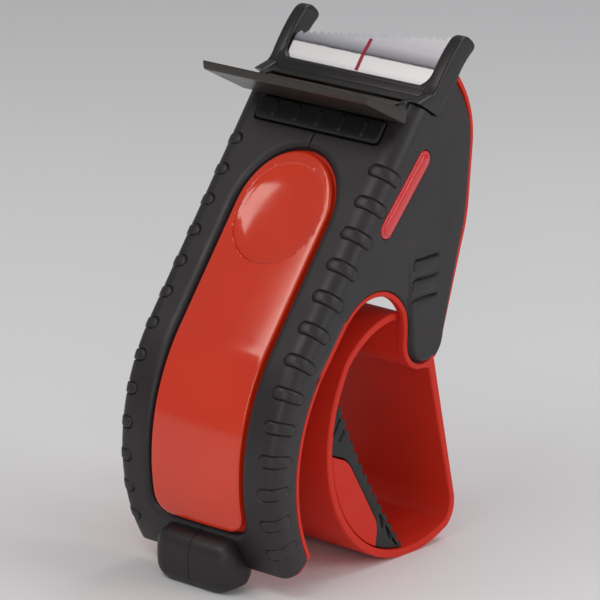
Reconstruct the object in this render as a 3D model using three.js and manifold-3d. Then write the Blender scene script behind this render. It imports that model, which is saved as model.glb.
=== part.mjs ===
// Hand tape dispenser with a hollow hub: two half shells, covers, head, blade, flap, rollers and brake.
// Millimetres. X runs across the dispenser, Y from the front panel to the hub, Z up.
import * as THREE from 'three';
import { mergeVertices } from 'three/addons/utils/BufferGeometryUtils.js';
import Module from 'manifold-3d';

const wasm = await Module();
wasm.setup();

// ---------------------------------------------------------------- driving dimensions
const BAY = 24.6; // half the width of the space for a 48 mm roll
const FRAME_FACE = 26.1; // outer face of the red frames
const COVER_FACE = 27.6; // outer face of the black covers
const RIM = 1.5; // width of the red rim left showing round the covers
const COVER_WALL = 2.0; // front wall of the covers
const FRAME_WALL = 1.6; // front wall of the frames behind it
const FIT = 0.3; // clearance between parts that move or drop in
const STATION = 4.8; // spacing of the breaks along the curved front wall
const SEAM = 0.08; // half the gap at the centre parting line
const SHIFT_Y = 18.9; // brings the middle of the part to Y = 0
const TAPER = { from: 24.3, low: 0.62, z: 5, rise: 120 }; // side walls get thinner towards the foot

const FRONT = { y: -8.7, z: 36.9, r: 52.85, slope: THREE.MathUtils.degToRad(54.8) }; // front wall
const INNER = { y: -5.65, z: 35.3, r: 44.3 }; // inner edge of the right flange
const ARCH = { y: -21.5, z: 62.8, r: 14.85 }; // arch over the hub
const LEG = { y: 1.4, z: 62.6, r: 9.0 }; // round end of the leg
const ROLL = { y: -2.8, z: 34.8, r: 53.6 }; // clearance circle of a full roll
const HUB = { y: 3.9, z: 39.6, r: 39.8, wall: 2.3, half: 24.4 }; // hollow hub
const FOOT_ANGLE = THREE.MathUtils.degToRad(213); // where the front wall ends below
const HINGE = { y: -9.6, z: 125.7, r: 2.0, pin: 0.9 }; // flap hinge
const GUIDE = { y: 4.6, z: 124.6, r: 4.3, pin: 1.5 }; // roller under the blade
const TENSION = { y: 2.5, z: 107, r: 6, core: 4.4, pin: 1.5 }; // brake roller
const BRAKE = { y: -15.5, z: 107, pin: 1.5 }; // pivot of the brake lever
const BUTTON = { low: 60.8, high: 67.6, half: 20.6, proud: 1.3 }; // along the front wall
const BLADE = { half: 23.7, thick: 0.7, lower: 5.2, short: 3.1, tall: 10.6, teeth: 22, tooth: 1.1 };
const CORNER = 5; // radius between the front and the sides of the covers
const WRAP_END = 9; // how far the wrapped front of a cover reaches round the side
const BACK = 17.9; // back edge of the side plates
const PANEL = { half: 14.3, low: 17.6, top: 97.5, rise: 14, corner: 6 }; // the red front panel
const DISH = { s: 36.8, across: 12.7, deep: 2.6, along: 14.6, raised: 0.9 }; // thumb dish in the panel
const ACCENT = { from: [-3.9, 113.8], to: [-20.5, 94.6], r: 2.3 }; // red bars on the sides
const TAB = { inset: 2.6, top: 86, flare: 1.5, steps: [84.6, 79.2, 73.8], step: 0.45 }; // tab on the leg
const FOLD = { y: 2.6, z: 135.1, lower: THREE.MathUtils.degToRad(55), upper: THREE.MathUtils.degToRad(48) };
const FLAP = { half: 27.1, neck: 22.1, back: -13.3 }; // the flap is narrower between the arms
const RIBS = { count: 13, first: -56.5, pitch: 9.2, length: 3.6, proud: 0.6 };

// ---------------------------------------------------------------- materials
const BLACK = { color: 0x2b282a, roughness: 0.62, metalness: 0 };
const SIDE_BLACK = { color: 0x39363b, roughness: 0.6, metalness: 0 };
const RED = { color: 0xb02010, roughness: 0.38, metalness: 0 };
const GLOSS_RED = { color: 0xc22a10, roughness: 0.12, metalness: 0 };
const RUBBER = { color: 0x26272a, roughness: 0.8, metalness: 0 };
const STEEL = { color: 0xd8dadd, roughness: 0.25, metalness: 1 };
const DARK_STEEL = { color: 0x83868a, roughness: 0.4, metalness: 1 };
const GREY = { color: 0xa9aaa8, roughness: 0.5, metalness: 0 };
const CRIMSON = { color: 0xa3122f, roughness: 0.5, metalness: 0 };

// ---------------------------------------------------------------- geometry helpers
function solid(geometry) {
  const bare = geometry.clone();
  bare.deleteAttribute('normal');
  bare.deleteAttribute('uv');
  const merged = mergeVertices(bare, 1e-5);
  const vertProperties = new Float32Array(merged.attributes.position.array);
  const triVerts = new Uint32Array(merged.index.array);
  return new wasm.Manifold(new wasm.Mesh({ numProp: 3, vertProperties, triVerts }));
}

function toGeometry(manifold) {
  const mesh = manifold.getMesh();
  const geometry = new THREE.BufferGeometry();
  geometry.setAttribute('position', new THREE.BufferAttribute(new Float32Array(mesh.vertProperties), 3));
  geometry.setIndex(new THREE.BufferAttribute(new Uint32Array(mesh.triVerts), 1));
  return geometry;
}

function union(...pieces) {
  return pieces.reduce((sum, piece) => sum.add(piece));
}

function cut(piece, ...tools) {
  return tools.reduce((rest, tool) => rest.subtract(tool), piece);
}

// Moves every corner of a geometry by a rule (x, y, z) -> [x, y, z].
function remap(geometry, rule) {
  const position = geometry.attributes.position;
  for (let i = 0; i < position.count; i += 1) {
    const [x, y, z] = rule(position.getX(i), position.getY(i), position.getZ(i));
    position.setXYZ(i, x, y, z);
  }
  return geometry;
}

// A side outline (y, z) pushed across the part from x0 to x1.
function slab(outline, x0, x1, divisions = 12) {
  const options = { depth: x1 - x0, bevelEnabled: false, curveSegments: divisions };
  const geometry = new THREE.ExtrudeGeometry(outline, options);
  return solid(remap(geometry, (y, z, x) => [x0 + x, y, z]));
}

// A front outline (x, z) pushed through the part from y0 to y1.
function prism(outline, y0, y1, divisions = 12) {
  const options = { depth: y1 - y0, bevelEnabled: false, curveSegments: divisions };
  const geometry = new THREE.ExtrudeGeometry(outline, options);
  return solid(remap(geometry, (x, z, depth) => [x, y1 - depth, z]));
}

function block(x0, x1, y0, y1, z0, z1) {
  const geometry = new THREE.BoxGeometry(x1 - x0, y1 - y0, z1 - z0);
  return solid(geometry.translate((x0 + x1) / 2, (y0 + y1) / 2, (z0 + z1) / 2));
}

// A round bar across the part.
function bar(radius, x0, x1, centre, segments = 32) {
  const geometry = new THREE.CylinderGeometry(radius, radius, x1 - x0, segments);
  return solid(geometry.rotateZ(Math.PI / 2).translate((x0 + x1) / 2, centre.y, centre.z));
}

function polygon(points) {
  return new THREE.Shape(points.map(([u, v]) => new THREE.Vector2(u, v)));
}

// A straight slot outline with round ends.
function capsule(from, to, radius) {
  const angle = Math.atan2(to[1] - from[1], to[0] - from[0]);
  const shape = new THREE.Shape();
  shape.absarc(from[0], from[1], radius, angle + Math.PI / 2, angle + Math.PI * 1.5, false);
  shape.absarc(to[0], to[1], radius, angle - Math.PI / 2, angle + Math.PI / 2, false);
  return shape;
}

// Turns the faces of a geometry over, after a rule that mirrors it.
function flipped(geometry) {
  const index = geometry.index.array;
  for (let i = 0; i < index.length; i += 3) {
    [index[i], index[i + 1]] = [index[i + 1], index[i]];
  }
  return geometry;
}

function mirrored(manifold) {
  return solid(flipped(remap(toGeometry(manifold), (x, y, z) => [-x, y, z])));
}

// ---------------------------------------------------------------- the curved front wall
// Place on the front wall: s is the length along it, zero where the arc meets the straight part,
// and depth is measured inwards.
function onFront(s, depth) {
  const start = Math.PI / 2 + FRONT.slope;
  const radius = FRONT.r - depth;
  const angle = s < 0 ? start - s / FRONT.r : start;
  const run = Math.max(s, 0);
  return [
    FRONT.y + radius * Math.cos(angle) + run * Math.cos(FRONT.slope),
    FRONT.z + radius * Math.sin(angle) + run * Math.sin(FRONT.slope),
  ];
}

const FOOT_S = -(FOOT_ANGLE - Math.PI / 2 - FRONT.slope) * FRONT.r; // lower end of the front wall
const TOP_S = 73.5; // upper end of the front wall

// A section (x, depth) carried along the front wall from s0 to s1. Every piece breaks its curve at the
// same stations, so that neighbours lie flat on each other.
function alongFront(section, s0, s1) {
  const stations = [s0];
  for (let s = Math.ceil(s0 / STATION) * STATION; s < Math.min(s1, 0.01); s += STATION) {
    if (s > s0 + 0.01) {
      stations.push(Math.min(s, 0));
    }
  }
  stations.push(s1);
  const steps = stations.length - 1;
  const geometry = new THREE.ExtrudeGeometry(section, { depth: steps, steps, bevelEnabled: false });
  return solid(remap(geometry, (x, depth, step) => [x, ...onFront(stations[Math.round(step)], depth)]));
}

function frontBlock(x0, x1, s0, s1, depth0, depth1) {
  return alongFront(polygon([[x0, depth0], [x1, depth0], [x1, depth1], [x0, depth1]]), s0, s1);
}

// ---------------------------------------------------------------- side outlines
function frontEdge(shape, depth) {
  shape.lineTo(...onFront(TOP_S, depth));
  shape.lineTo(...onFront(0, depth));
  shape.absarc(FRONT.y, FRONT.z, FRONT.r - depth, Math.PI / 2 + FRONT.slope, FOOT_ANGLE, false);
}

function backEdge(shape, inset) {
  shape.quadraticCurveTo(BACK - inset, 92, BACK - inset, 98);
  shape.lineTo(BACK - inset, 113);
  shape.quadraticCurveTo(BACK - inset, 124 - inset, 9.2 - inset, 133 - inset);
}

// Right side: inner edge, arch, leg and back, each set in by inset; front edge set in by depth.
function rightOutline(depth, inset) {
  const shape = new THREE.Shape();
  const joint = THREE.MathUtils.degToRad(150);
  shape.absarc(INNER.y, INNER.z, INNER.r + inset, FOOT_ANGLE, joint, true);
  const archStart = THREE.MathUtils.degToRad(138);
  const archEnd = THREE.MathUtils.degToRad(16);
  shape.absarc(ARCH.y, ARCH.z, ARCH.r + inset, archStart, archEnd, true);
  shape.absarc(LEG.y, LEG.z, LEG.r - inset, Math.PI, Math.PI * 2, false);
  shape.lineTo(16.2 - inset, 86.5);
  backEdge(shape, inset);
  frontEdge(shape, depth);
  shape.quadraticCurveTo(-49.3, 3.2 + inset, INNER.y + (INNER.r + inset) * Math.cos(FOOT_ANGLE),
    INNER.z + (INNER.r + inset) * Math.sin(FOOT_ANGLE));
  return shape;
}

// Left side: one open circle, so that the roll slides in from there.
function leftOutline(depth, inset) {
  const shape = new THREE.Shape();
  const radius = ROLL.r + inset;
  const end = Math.acos((16.4 - inset - ROLL.y) / radius);
  shape.absarc(ROLL.y, ROLL.z, radius, FOOT_ANGLE, end, true);
  backEdge(shape, inset);
  frontEdge(shape, depth);
  shape.quadraticCurveTo(-51.4, 3.4 + inset, ROLL.y + radius * Math.cos(FOOT_ANGLE),
    ROLL.z + radius * Math.sin(FOOT_ANGLE));
  return shape;
}

// The seam between covers and head: slit at the front, then up to the back edge.
const SEAM_FRONT = [-9.3, 128.3];
const SEAM_LOW = [-0.6, 123.6];
const SEAM_BACK = [7.6, 132.0];

function headZone(lift) {
  const points = [SEAM_FRONT, SEAM_LOW, SEAM_BACK].map(([y, z]) => [y, z + lift]);
  return polygon([[-20, 134], ...points, [20, 135], [20, 150], [-20, 150]]);
}

// ---------------------------------------------------------------- covers
function coverSection() {
  const bend = COVER_FACE - CORNER;
  const shape = new THREE.Shape();
  shape.moveTo(SEAM, 0);
  shape.lineTo(bend, 0);
  for (let i = 1; i <= 4; i += 1) {
    const angle = -Math.PI / 2 + (i * Math.PI) / 8;
    shape.lineTo(bend + CORNER * Math.cos(angle), CORNER + CORNER * Math.sin(angle));
  }
  shape.lineTo(COVER_FACE, WRAP_END);
  shape.lineTo(FRAME_FACE + 0.02, WRAP_END);
  shape.lineTo(FRAME_FACE + 0.02, COVER_WALL);
  shape.lineTo(SEAM, COVER_WALL);
  return shape;
}

function ribSection() {
  const bend = COVER_FACE - CORNER;
  const sunk = 0.3;
  const outer = CORNER + RIBS.proud;
  const inner = CORNER - sunk;
  const shape = new THREE.Shape();
  shape.moveTo(bend - 1.6, 2 * sunk);
  shape.lineTo(bend - 1.2, -0.1);
  shape.lineTo(bend - 0.5, -RIBS.proud);
  for (let i = 0; i <= 3; i += 1) {
    const angle = -Math.PI / 2 + (i * Math.PI) / 6;
    shape.lineTo(bend + outer * Math.cos(angle), CORNER + outer * Math.sin(angle));
  }
  shape.lineTo(COVER_FACE, CORNER + 1.6);
  shape.lineTo(COVER_FACE - sunk, CORNER);
  for (let i = 3; i >= 0; i -= 1) {
    const angle = -Math.PI / 2 + (i * Math.PI) / 6;
    shape.lineTo(bend + inner * Math.cos(angle), CORNER + inner * Math.sin(angle));
  }
  return shape;
}

function gripRibs() {
  const ribs = [];
  for (let i = 0; i < RIBS.count; i += 1) {
    const middle = RIBS.first + i * RIBS.pitch;
    ribs.push(alongFront(ribSection(), middle - RIBS.length / 2, middle + RIBS.length / 2));
  }
  return ribs;
}

// Front view outline of the red panel; grow widens it for the opening.
function panelOutline(grow) {
  const half = PANEL.half + grow;
  const low = PANEL.low - grow;
  const shape = new THREE.Shape();
  shape.moveTo(half, PANEL.top);
  shape.absellipse(0, PANEL.top, half, PANEL.rise + grow, 0, Math.PI, false);
  shape.lineTo(-half, low + PANEL.corner);
  shape.quadraticCurveTo(-half, low, -half + PANEL.corner, low);
  shape.lineTo(half - PANEL.corner, low);
  shape.quadraticCurveTo(half, low, half, low + PANEL.corner);
  return shape;
}

// The bumper below the panel, rounded in front view and in side view.
function nose() {
  const side = new THREE.Shape();
  side.moveTo(-57.4, 17.4);
  side.quadraticCurveTo(-62.2, 15.5, -61.8, 9.6);
  side.lineTo(-61.2, 3.2);
  side.quadraticCurveTo(-60.8, 0, -57.4, 0);
  side.lineTo(-50.5, 0);
  side.quadraticCurveTo(-48.4, 0.6, -47.6, 8.6);
  side.lineTo(-53.6, 12.3);
  const front = new THREE.Shape();
  front.moveTo(SEAM, 0);
  front.lineTo(7.6, 0);
  front.quadraticCurveTo(11.6, 0.4, 12.2, 4.5);
  front.lineTo(13, 11);
  front.quadraticCurveTo(12.5, 18, 6, 19.5);
  front.lineTo(SEAM, 19.5);
  return slab(side, 0, 16, 6).intersect(prism(front, -70, -40, 6));
}

function buttonHole(grow, depth0, depth1) {
  const half = BUTTON.half + grow;
  return frontBlock(-half, half, BUTTON.low - grow, BUTTON.high + grow, depth0, depth1);
}

// Room for the flap barrel between the cheeks, at the top of the front wall.
function barrelRoom() {
  return block(-24.3, 24.3, -16, 0, 123.0, 140);
}

const CASE_SCREWS = [
  { name: 'case_screw_top', y: 11.5, z: 119 },
  { name: 'case_screw_rear', y: 10.5, z: 97 },
  { name: 'case_screw_front', y: -24, z: 90 },
];

function caseScrewHoles(radius, x0, x1) {
  return CASE_SCREWS.map(({ y, z }) => bar(radius, x0, x1, { y, z }, 20));
}

function coverShell(outline) {
  const corner = alongFront(polygon([[20, -8], [40, -8], [40, CORNER], [20, CORNER]]), FOOT_S - 14, TOP_S + 4);
  const skin = cut(slab(outline(-4, RIM + 0.1), FRAME_FACE + 0.02, COVER_FACE, 10), corner);
  const wrap = alongFront(coverSection(), FOOT_S - 6, TOP_S);
  const limit = slab(outline(-4, RIM + 0.1), -1, 40, 10);
  const body = union(union(skin, wrap, ...gripRibs()).intersect(limit), nose());
  return cut(body, prism(panelOutline(1.3), -80, -12), buttonHole(FIT, -5, 12), barrelRoom(),
    slab(headZone(-0.1), -40, 40));
}

function accentPocket() {
  return slab(capsule(ACCENT.from, ACCENT.to, ACCENT.r + 0.1), COVER_FACE - 0.9, 40, 8);
}

// The flared tab on the leg, thin at the top and thicker towards the round end.
function legTab() {
  const shape = new THREE.Shape();
  shape.moveTo(-8.6, TAB.top);
  shape.quadraticCurveTo(-6.2, 72, LEG.y - LEG.r + TAB.inset, LEG.z);
  shape.absarc(LEG.y, LEG.z, LEG.r - TAB.inset, Math.PI, Math.PI * 2, false);
  shape.lineTo(12.6, TAB.top);
  const options = { depth: 1, bevelEnabled: false, curveSegments: 8 };
  const geometry = new THREE.ExtrudeGeometry(shape, options);
  const bottom = LEG.z - LEG.r;
  const flare = (z) => ((TAB.top + 2 - z) / (TAB.top + 2 - bottom)) * TAB.flare;
  const base = COVER_FACE - 0.4;
  return solid(remap(geometry, (y, z, x) => [x > 0.5 ? base + 0.45 + flare(z) : base, y, z]));
}

function legRidges() {
  const low = COVER_FACE - 0.2;
  const high = COVER_FACE + 1.15;
  return TAB.steps.map((z) => {
    const line = capsule([-5.2, z], [4.4, z + 0.9], TAB.step);
    const hook = capsule([-5.2, z], [-6.0, z - 2.6], TAB.step);
    return union(slab(line, low, high, 4), slab(hook, low, high, 4));
  });
}

function rightCover() {
  const shell = union(coverShell(rightOutline), legTab(), ...legRidges());
  return cut(shell, accentPocket());
}

function leftCover() {
  const holes = caseScrewHoles(2.7, 20, 40);
  return mirrored(cut(coverShell(leftOutline), accentPocket(), ...holes));
}

function accent() {
  const low = slab(capsule(ACCENT.from, ACCENT.to, ACCENT.r), COVER_FACE - 0.85, COVER_FACE + 0.15, 8);
  const crown = slab(capsule(ACCENT.from, ACCENT.to, ACCENT.r - 0.6), COVER_FACE, COVER_FACE + 0.5, 8);
  return union(low, crown);
}

// ---------------------------------------------------------------- frames
function frameShell(outline) {
  const plate = slab(outline(COVER_WALL + 0.4, 0), BAY, COVER_FACE - 0.2, 10);
  const section = polygon([[SEAM, COVER_WALL + 0.05], [BAY + 0.5, COVER_WALL + 0.05],
    [BAY + 0.5, COVER_WALL + FRAME_WALL], [SEAM, COVER_WALL + FRAME_WALL]]);
  const wall = alongFront(section, FOOT_S + 0.5, TOP_S - 1);
  const under = COVER_WALL + 0.04;
  const wrapRoom = polygon([[23, -6], [40, -6], [40, WRAP_END + 0.1], [FRAME_FACE, WRAP_END + 0.1],
    [FRAME_FACE, under], [23, under]]);
  const coverRoom = union(
    slab(outline(-6, RIM), FRAME_FACE, 40, 10),
    alongFront(wrapRoom, FOOT_S - 12, TOP_S + 4),
  );
  const pins = [bar(GUIDE.pin + 0.05, 20, 40, GUIDE), bar(TENSION.pin + 0.05, 20, 40, TENSION),
    bar(BRAKE.pin + 0.05, 20, 40, BRAKE, 24)];
  const open = cut(union(plate, wall), coverRoom, ...pins, ...caseScrewHoles(1.3, 20, 40));
  return cut(open, buttonHole(FIT, -5, 12), barrelRoom(), slab(headZone(-0.1), -40, 40), noseRoom());
}

// The nose is solid, so the frame wall stops above it.
function noseRoom() {
  return block(-20, 13.3, -70, -44, -5, 12.4);
}

function rightFrame() {
  const holes = HUB_SCREWS.map(({ y, z }) => bar(1.25, 20, 40, { y, z }, 20));
  return cut(frameShell(rightOutline), ...holes);
}

function leftFrame() {
  return mirrored(frameShell(leftOutline));
}

// Red spine between the two side plates, from the head down to above the roll.
function rearCover() {
  const shape = new THREE.Shape();
  const wall = 2;
  shape.moveTo(BACK - 0.6, 90.6);
  shape.lineTo(BACK, 98);
  shape.lineTo(BACK, 113);
  shape.quadraticCurveTo(BACK, 121, 13.4, 127);
  shape.lineTo(11.9, 125.8);
  shape.quadraticCurveTo(BACK - wall, 120.5, BACK - wall, 113);
  shape.lineTo(BACK - wall, 98);
  shape.lineTo(BACK - wall - 0.6, 90.8);
  return slab(shape, -BAY + 0.05, BAY - 0.05, 10);
}

function caseScrew({ y, z }) {
  const shank = bar(1.2, -FRAME_FACE, FRAME_FACE, { y, z }, 20);
  const head = bar(2.5, -COVER_FACE + 0.1, -FRAME_FACE - 0.05, { y, z }, 24);
  const slotCut = block(-COVER_FACE - 1, -COVER_FACE + 0.7, y - 3, y + 3, z - 0.35, z + 0.35);
  const crossCut = block(-COVER_FACE - 1, -COVER_FACE + 0.7, y - 0.35, y + 0.35, z - 3, z + 3);
  return cut(union(shank, bar(1.2, -FRAME_FACE - 0.5, 0, { y, z }, 20), head), slotCut, crossCut);
}

// ---------------------------------------------------------------- front panel
function frontPanel() {
  const band = alongFront(polygon([[-16, 0.25], [16, 0.25], [16, COVER_WALL], [-16, COVER_WALL]]), FOOT_S, 60);
  const crown = alongFront(panelCrown(), FOOT_S, 60);
  const dish = solid(new THREE.SphereGeometry(1, 32, 20).scale(DISH.across, DISH.deep, DISH.along)
    .rotateX(FRONT.slope - Math.PI / 2).translate(0, ...onFront(DISH.s, -DISH.raised)));
  return cut(union(band, crown).intersect(prism(panelOutline(0.55), -80, -12)), dish);
}

// Slightly domed face of the panel.
function panelCrown() {
  const shape = new THREE.Shape();
  shape.moveTo(-15.5, 0.6);
  for (let i = 0; i <= 6; i += 1) {
    const x = -15.5 + (31 * i) / 6;
    shape.lineTo(x, 0.25 - 0.55 * (1 - (x / 15.5) ** 2));
  }
  shape.lineTo(15.5, 0.6);
  return shape;
}

// ---------------------------------------------------------------- head
function cheek() {
  const shape = new THREE.Shape();
  shape.moveTo(...SEAM_FRONT);
  shape.lineTo(...SEAM_LOW);
  shape.lineTo(...SEAM_BACK);
  shape.quadraticCurveTo(9.6, 135.8, 13.4, 138.6);
  shape.quadraticCurveTo(16.0, 140.4, 12.9, 142.4);
  shape.quadraticCurveTo(10.2, 144.6, 7.4, 142.6);
  shape.quadraticCurveTo(3.4, 139.2, -0.8, 132.8);
  shape.quadraticCurveTo(-2.0, 130.6, -3.6, 129.7);
  return slab(shape, 24.1, COVER_FACE + 0.2, 8);
}

function headFrame() {
  const lip = new THREE.Shape();
  lip.moveTo(-5.6, 126.3);
  lip.lineTo(-7.2, 127.7);
  lip.lineTo(-7.2, 128.1);
  lip.lineTo(-4.3, 128.9);
  lip.lineTo(-3.3, 129.5);
  lip.lineTo(-2.8, 131.0);
  lip.lineTo(-1.6, 131.3);
  lip.lineTo(0.2, 130.2);
  lip.lineTo(0.2, 128.2);
  lip.lineTo(-1.4, 124.6);
  lip.lineTo(-3.6, 124.0);
  const lipBar = slab(lip, -24.6, 24.6, 8);
  const pinHoles = bar(HINGE.pin + 0.04, -40, 40, HINGE, 20);
  const web = polygon([[-9.0, 128.4], [-8.2, 123.6], [-0.6, 123.8], [-0.6, 128]]);
  const right = union(cheek(), slab(web, 22.4, 24.2), bar(2.6, 22.4, 24.2, HINGE, 24));
  return cut(union(right, mirrored(right), lipBar), pinHoles);
}

// A flat piece of the folded strip: v runs up from the fold, w goes back through the thickness.
function onStrip(angle) {
  return (x, v, w) => [
    x,
    FOLD.y + v * Math.cos(angle) + w * Math.sin(angle),
    FOLD.z + v * Math.sin(angle) - w * Math.cos(angle),
  ];
}

// The folded strip as one section, then its slanted edge cut to teeth.
function blade() {
  const half = BLADE.half;
  const pitch = (2 * half) / BLADE.teeth;
  const reach = (x) => BLADE.short + ((BLADE.tall - BLADE.short) * (x + half)) / (2 * half);
  const lower = onStrip(FOLD.lower);
  const upper = onStrip(FOLD.upper);
  const behind = onStrip((FOLD.lower + FOLD.upper) / 2);
  const section = [lower(0, -BLADE.lower, 0), lower(0, 0, 0), upper(0, BLADE.tall + 0.5, 0),
    upper(0, BLADE.tall + 0.5, BLADE.thick), behind(0, 0, BLADE.thick), lower(0, -BLADE.lower, BLADE.thick)];
  const strip = slab(polygon(section.map((point) => [point[1], point[2]])), -half, half);
  const waste = new THREE.Shape();
  waste.moveTo(half + 1, BLADE.tall + 3);
  waste.lineTo(half + 1, reach(half) - BLADE.tooth);
  for (let i = 0; i < BLADE.teeth; i += 1) {
    const x = half - i * pitch;
    waste.lineTo(x, reach(x) - BLADE.tooth);
    waste.lineTo(x - pitch / 2, reach(x - pitch / 2));
  }
  waste.lineTo(-half, BLADE.short - BLADE.tooth);
  waste.lineTo(-half - 1, BLADE.short - BLADE.tooth);
  waste.lineTo(-half - 1, BLADE.tall + 3);
  const tool = new THREE.ExtrudeGeometry(waste, { depth: BLADE.thick + 2, bevelEnabled: false }).translate(0, 0, -1);
  return strip.subtract(placed(tool, upper));
}

// The centre mark is a thin strip printed over both bands.
function bladeMark() {
  const low = new THREE.BoxGeometry(1, BLADE.lower - 0.1, 0.12).translate(0, 0.2 - BLADE.lower / 2, -0.07);
  const reach = (BLADE.short + BLADE.tall) / 2 - 1.7;
  const high = new THREE.BoxGeometry(1, reach, 0.12).translate(0, reach / 2 - 0.2, -0.07);
  return union(placed(low, onStrip(FOLD.lower)), placed(high, onStrip(FOLD.upper)));
}

// Places a piece by a rule that mirrors it, and keeps its faces outward.
function placed(geometry, rule) {
  geometry.deleteAttribute('normal');
  geometry.deleteAttribute('uv');
  return solid(flipped(remap(mergeVertices(geometry, 1e-5), rule)));
}

function bladeCarrier() {
  const under = [onStrip(FOLD.lower)(0, -4.8, 0.75), onStrip(FOLD.lower)(0, -0.1, 0.75),
    onStrip(FOLD.upper)(0, 1.8, 0.75)];
  const shape = polygon([...under.map((point) => [point[1], point[2]]), [7.4, 135.2], [7.2, 132.0], [2.4, 130.9]]);
  const holes = [-1, 1].map((side) => block(side * 16 - 1.1, side * 16 + 1.1, 4.2, 8, 132.2, 134.4));
  return cut(slab(shape, -23.9, 23.9), ...holes);
}

function bladeScrew(side) {
  return block(side * 16 - 1.05, side * 16 + 1.05, 4.25, 6.6, 132.25, 134.35);
}

// ---------------------------------------------------------------- flap
function flap() {
  const shape = new THREE.Shape();
  shape.moveTo(HINGE.y, HINGE.z - HINGE.r);
  shape.lineTo(-14.2, 123.4);
  shape.lineTo(-31.6, 131.0);
  shape.lineTo(-32.1, 133.6);
  shape.quadraticCurveTo(-22, 129.9, -14.2, 127.7);
  shape.lineTo(HINGE.y, HINGE.z + HINGE.r);
  const plate = slab(shape, -FLAP.half, FLAP.half, 8);
  const clipLine = alongFront(polygon([[-40, -0.5], [40, -0.5], [40, 30], [-40, 30]]), 40, 90);
  const wide = cut(plate, clipLine, block(-40, 40, FLAP.back, 0, 115, 135));
  const barrel = bar(HINGE.r, -FLAP.neck, FLAP.neck, HINGE, 28);
  const neck = slab(shape, -FLAP.neck, FLAP.neck, 8).add(barrel);
  const springGap = block(-6, 6, -12.6, -5, 120, 130);
  return cut(union(wide, neck), bar(HINGE.pin + 0.04, -40, 40, HINGE, 20), springGap);
}

function flapSpring() {
  const coil = new THREE.CylinderGeometry(1.7, 1.7, 9, 28).rotateZ(Math.PI / 2).translate(0, HINGE.y, HINGE.z);
  return cut(solid(coil), bar(HINGE.pin + 0.04, -40, 40, HINGE, 20));
}

// ---------------------------------------------------------------- thumb button and brake
function thumbButton() {
  const half = BUTTON.half;
  const face = new THREE.Shape();
  face.moveTo(-half, 3);
  face.lineTo(-half, 0.2);
  face.quadraticCurveTo(-half, -BUTTON.proud + 0.5, -half + 1.6, -BUTTON.proud + 0.5);
  face.lineTo(half - 1.6, -BUTTON.proud + 0.5);
  face.quadraticCurveTo(half, -BUTTON.proud + 0.5, half, 0.2);
  face.lineTo(half, 3);
  const body = alongFront(face, BUTTON.low, BUTTON.high);
  const flange = frontBlock(-half - 0.9, half + 0.9, BUTTON.low - 0.9, BUTTON.high - 0.2, 3.75, 4.55);
  const stem = frontBlock(-half + 1, half - 1, BUTTON.low + 0.6, BUTTON.high - 0.6, 2.5, 4.3);
  const plunger = frontBlock(-3, 3, BUTTON.low + 3.3, BUTTON.high - 1.6, 4, 6.2);
  const ribs = [-2, -1, 0, 1, 2].map((i) => {
    const x = i * 7.4;
    return frontBlock(x - 0.5, x + 0.5, BUTTON.low + 0.8, BUTTON.high - 0.8, -BUTTON.proud, 0.6);
  });
  return union(body, stem, flange, plunger, ...ribs);
}

function buttonSpring(side) {
  const [y, z] = onFront((BUTTON.low + BUTTON.high) / 2, 6.6);
  const geometry = new THREE.CylinderGeometry(1.5, 1.5, 3.9, 24);
  return solid(geometry.rotateX(FRONT.slope - Math.PI / 2).translate(side * 14, y, z));
}

function brakeArm() {
  const upper = [onFront(57, 6.6), onFront(66.2, 6.6), onFront(66.2, 8.4), onFront(56, 9.8)];
  return polygon([[-17.4, 105.4], [-3.2, 92.6], [-0.4, 95.4], ...upper.reverse()]);
}

function brakeLever() {
  const body = union(slab(brakeArm(), -7, 7), bar(3, -7, 7, BRAKE, 28));
  return cut(body, bar(BRAKE.pin + 0.1, -40, 40, BRAKE, 24));
}

function brakeShoe() {
  const shape = polygon([[-6.6, 95.6], [-9.0, 93.2], [-3.6, 88.6], [-1.4, 90.9]]);
  return cut(slab(shape, -6.5, 6.5), slab(brakeArm(), -7, 7));
}

// ---------------------------------------------------------------- rollers
function roller(centre, radius) {
  return cut(bar(radius, -24, 24, centre, 40), bar(centre.pin + 0.1, -40, 40, centre, 28));
}

function rollerSleeve(side) {
  const middle = side * 13;
  return cut(bar(TENSION.r, middle - 8, middle + 8, TENSION, 44), bar(TENSION.core + 0.02, -40, 40, TENSION, 40));
}

function axle(centre) {
  return bar(centre.pin, -FRAME_FACE, FRAME_FACE, centre, 28);
}

// ---------------------------------------------------------------- hub
function hubOutline(inset) {
  const deg = THREE.MathUtils.degToRad;
  const shape = new THREE.Shape();
  const slope = { y: -0.3, z: 0.954 };
  const r = HUB.r - inset;
  shape.absarc(HUB.y, HUB.z, r, deg(-64), deg(-209), true);
  shape.absarc(-8.0, 42.0, 29.0 - inset, deg(140), deg(93), true);
  shape.quadraticCurveTo(-4.6 - inset, 70.9 - inset, -4.2 - inset, 67.6 - inset * 0.6);
  shape.lineTo(-3.6 - inset, 60.2 - inset * 0.3);
  shape.quadraticCurveTo(-3.4 - inset, 57.4 - inset, -0.6 - inset * 0.4, 56.8 - inset);
  shape.lineTo(10.2 - inset, 54.2 - inset);
  const low = { y: 24.0 - inset * slope.z, z: 12.6 };
  shape.lineTo(low.y, low.z);
  const corner = [25.3 - inset * 1.2, 7.0 + inset * 0.6];
  shape.quadraticCurveTo(...corner, HUB.y + r * Math.cos(deg(-64)), HUB.z + r * Math.sin(deg(-64)));
  return shape;
}

const HUB_SCREWS = [
  { name: 'hub_screw_upper', y: 1.2, z: 66.4 },
  { name: 'hub_screw_lower', y: 1.4, z: 59.8 },
];

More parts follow.
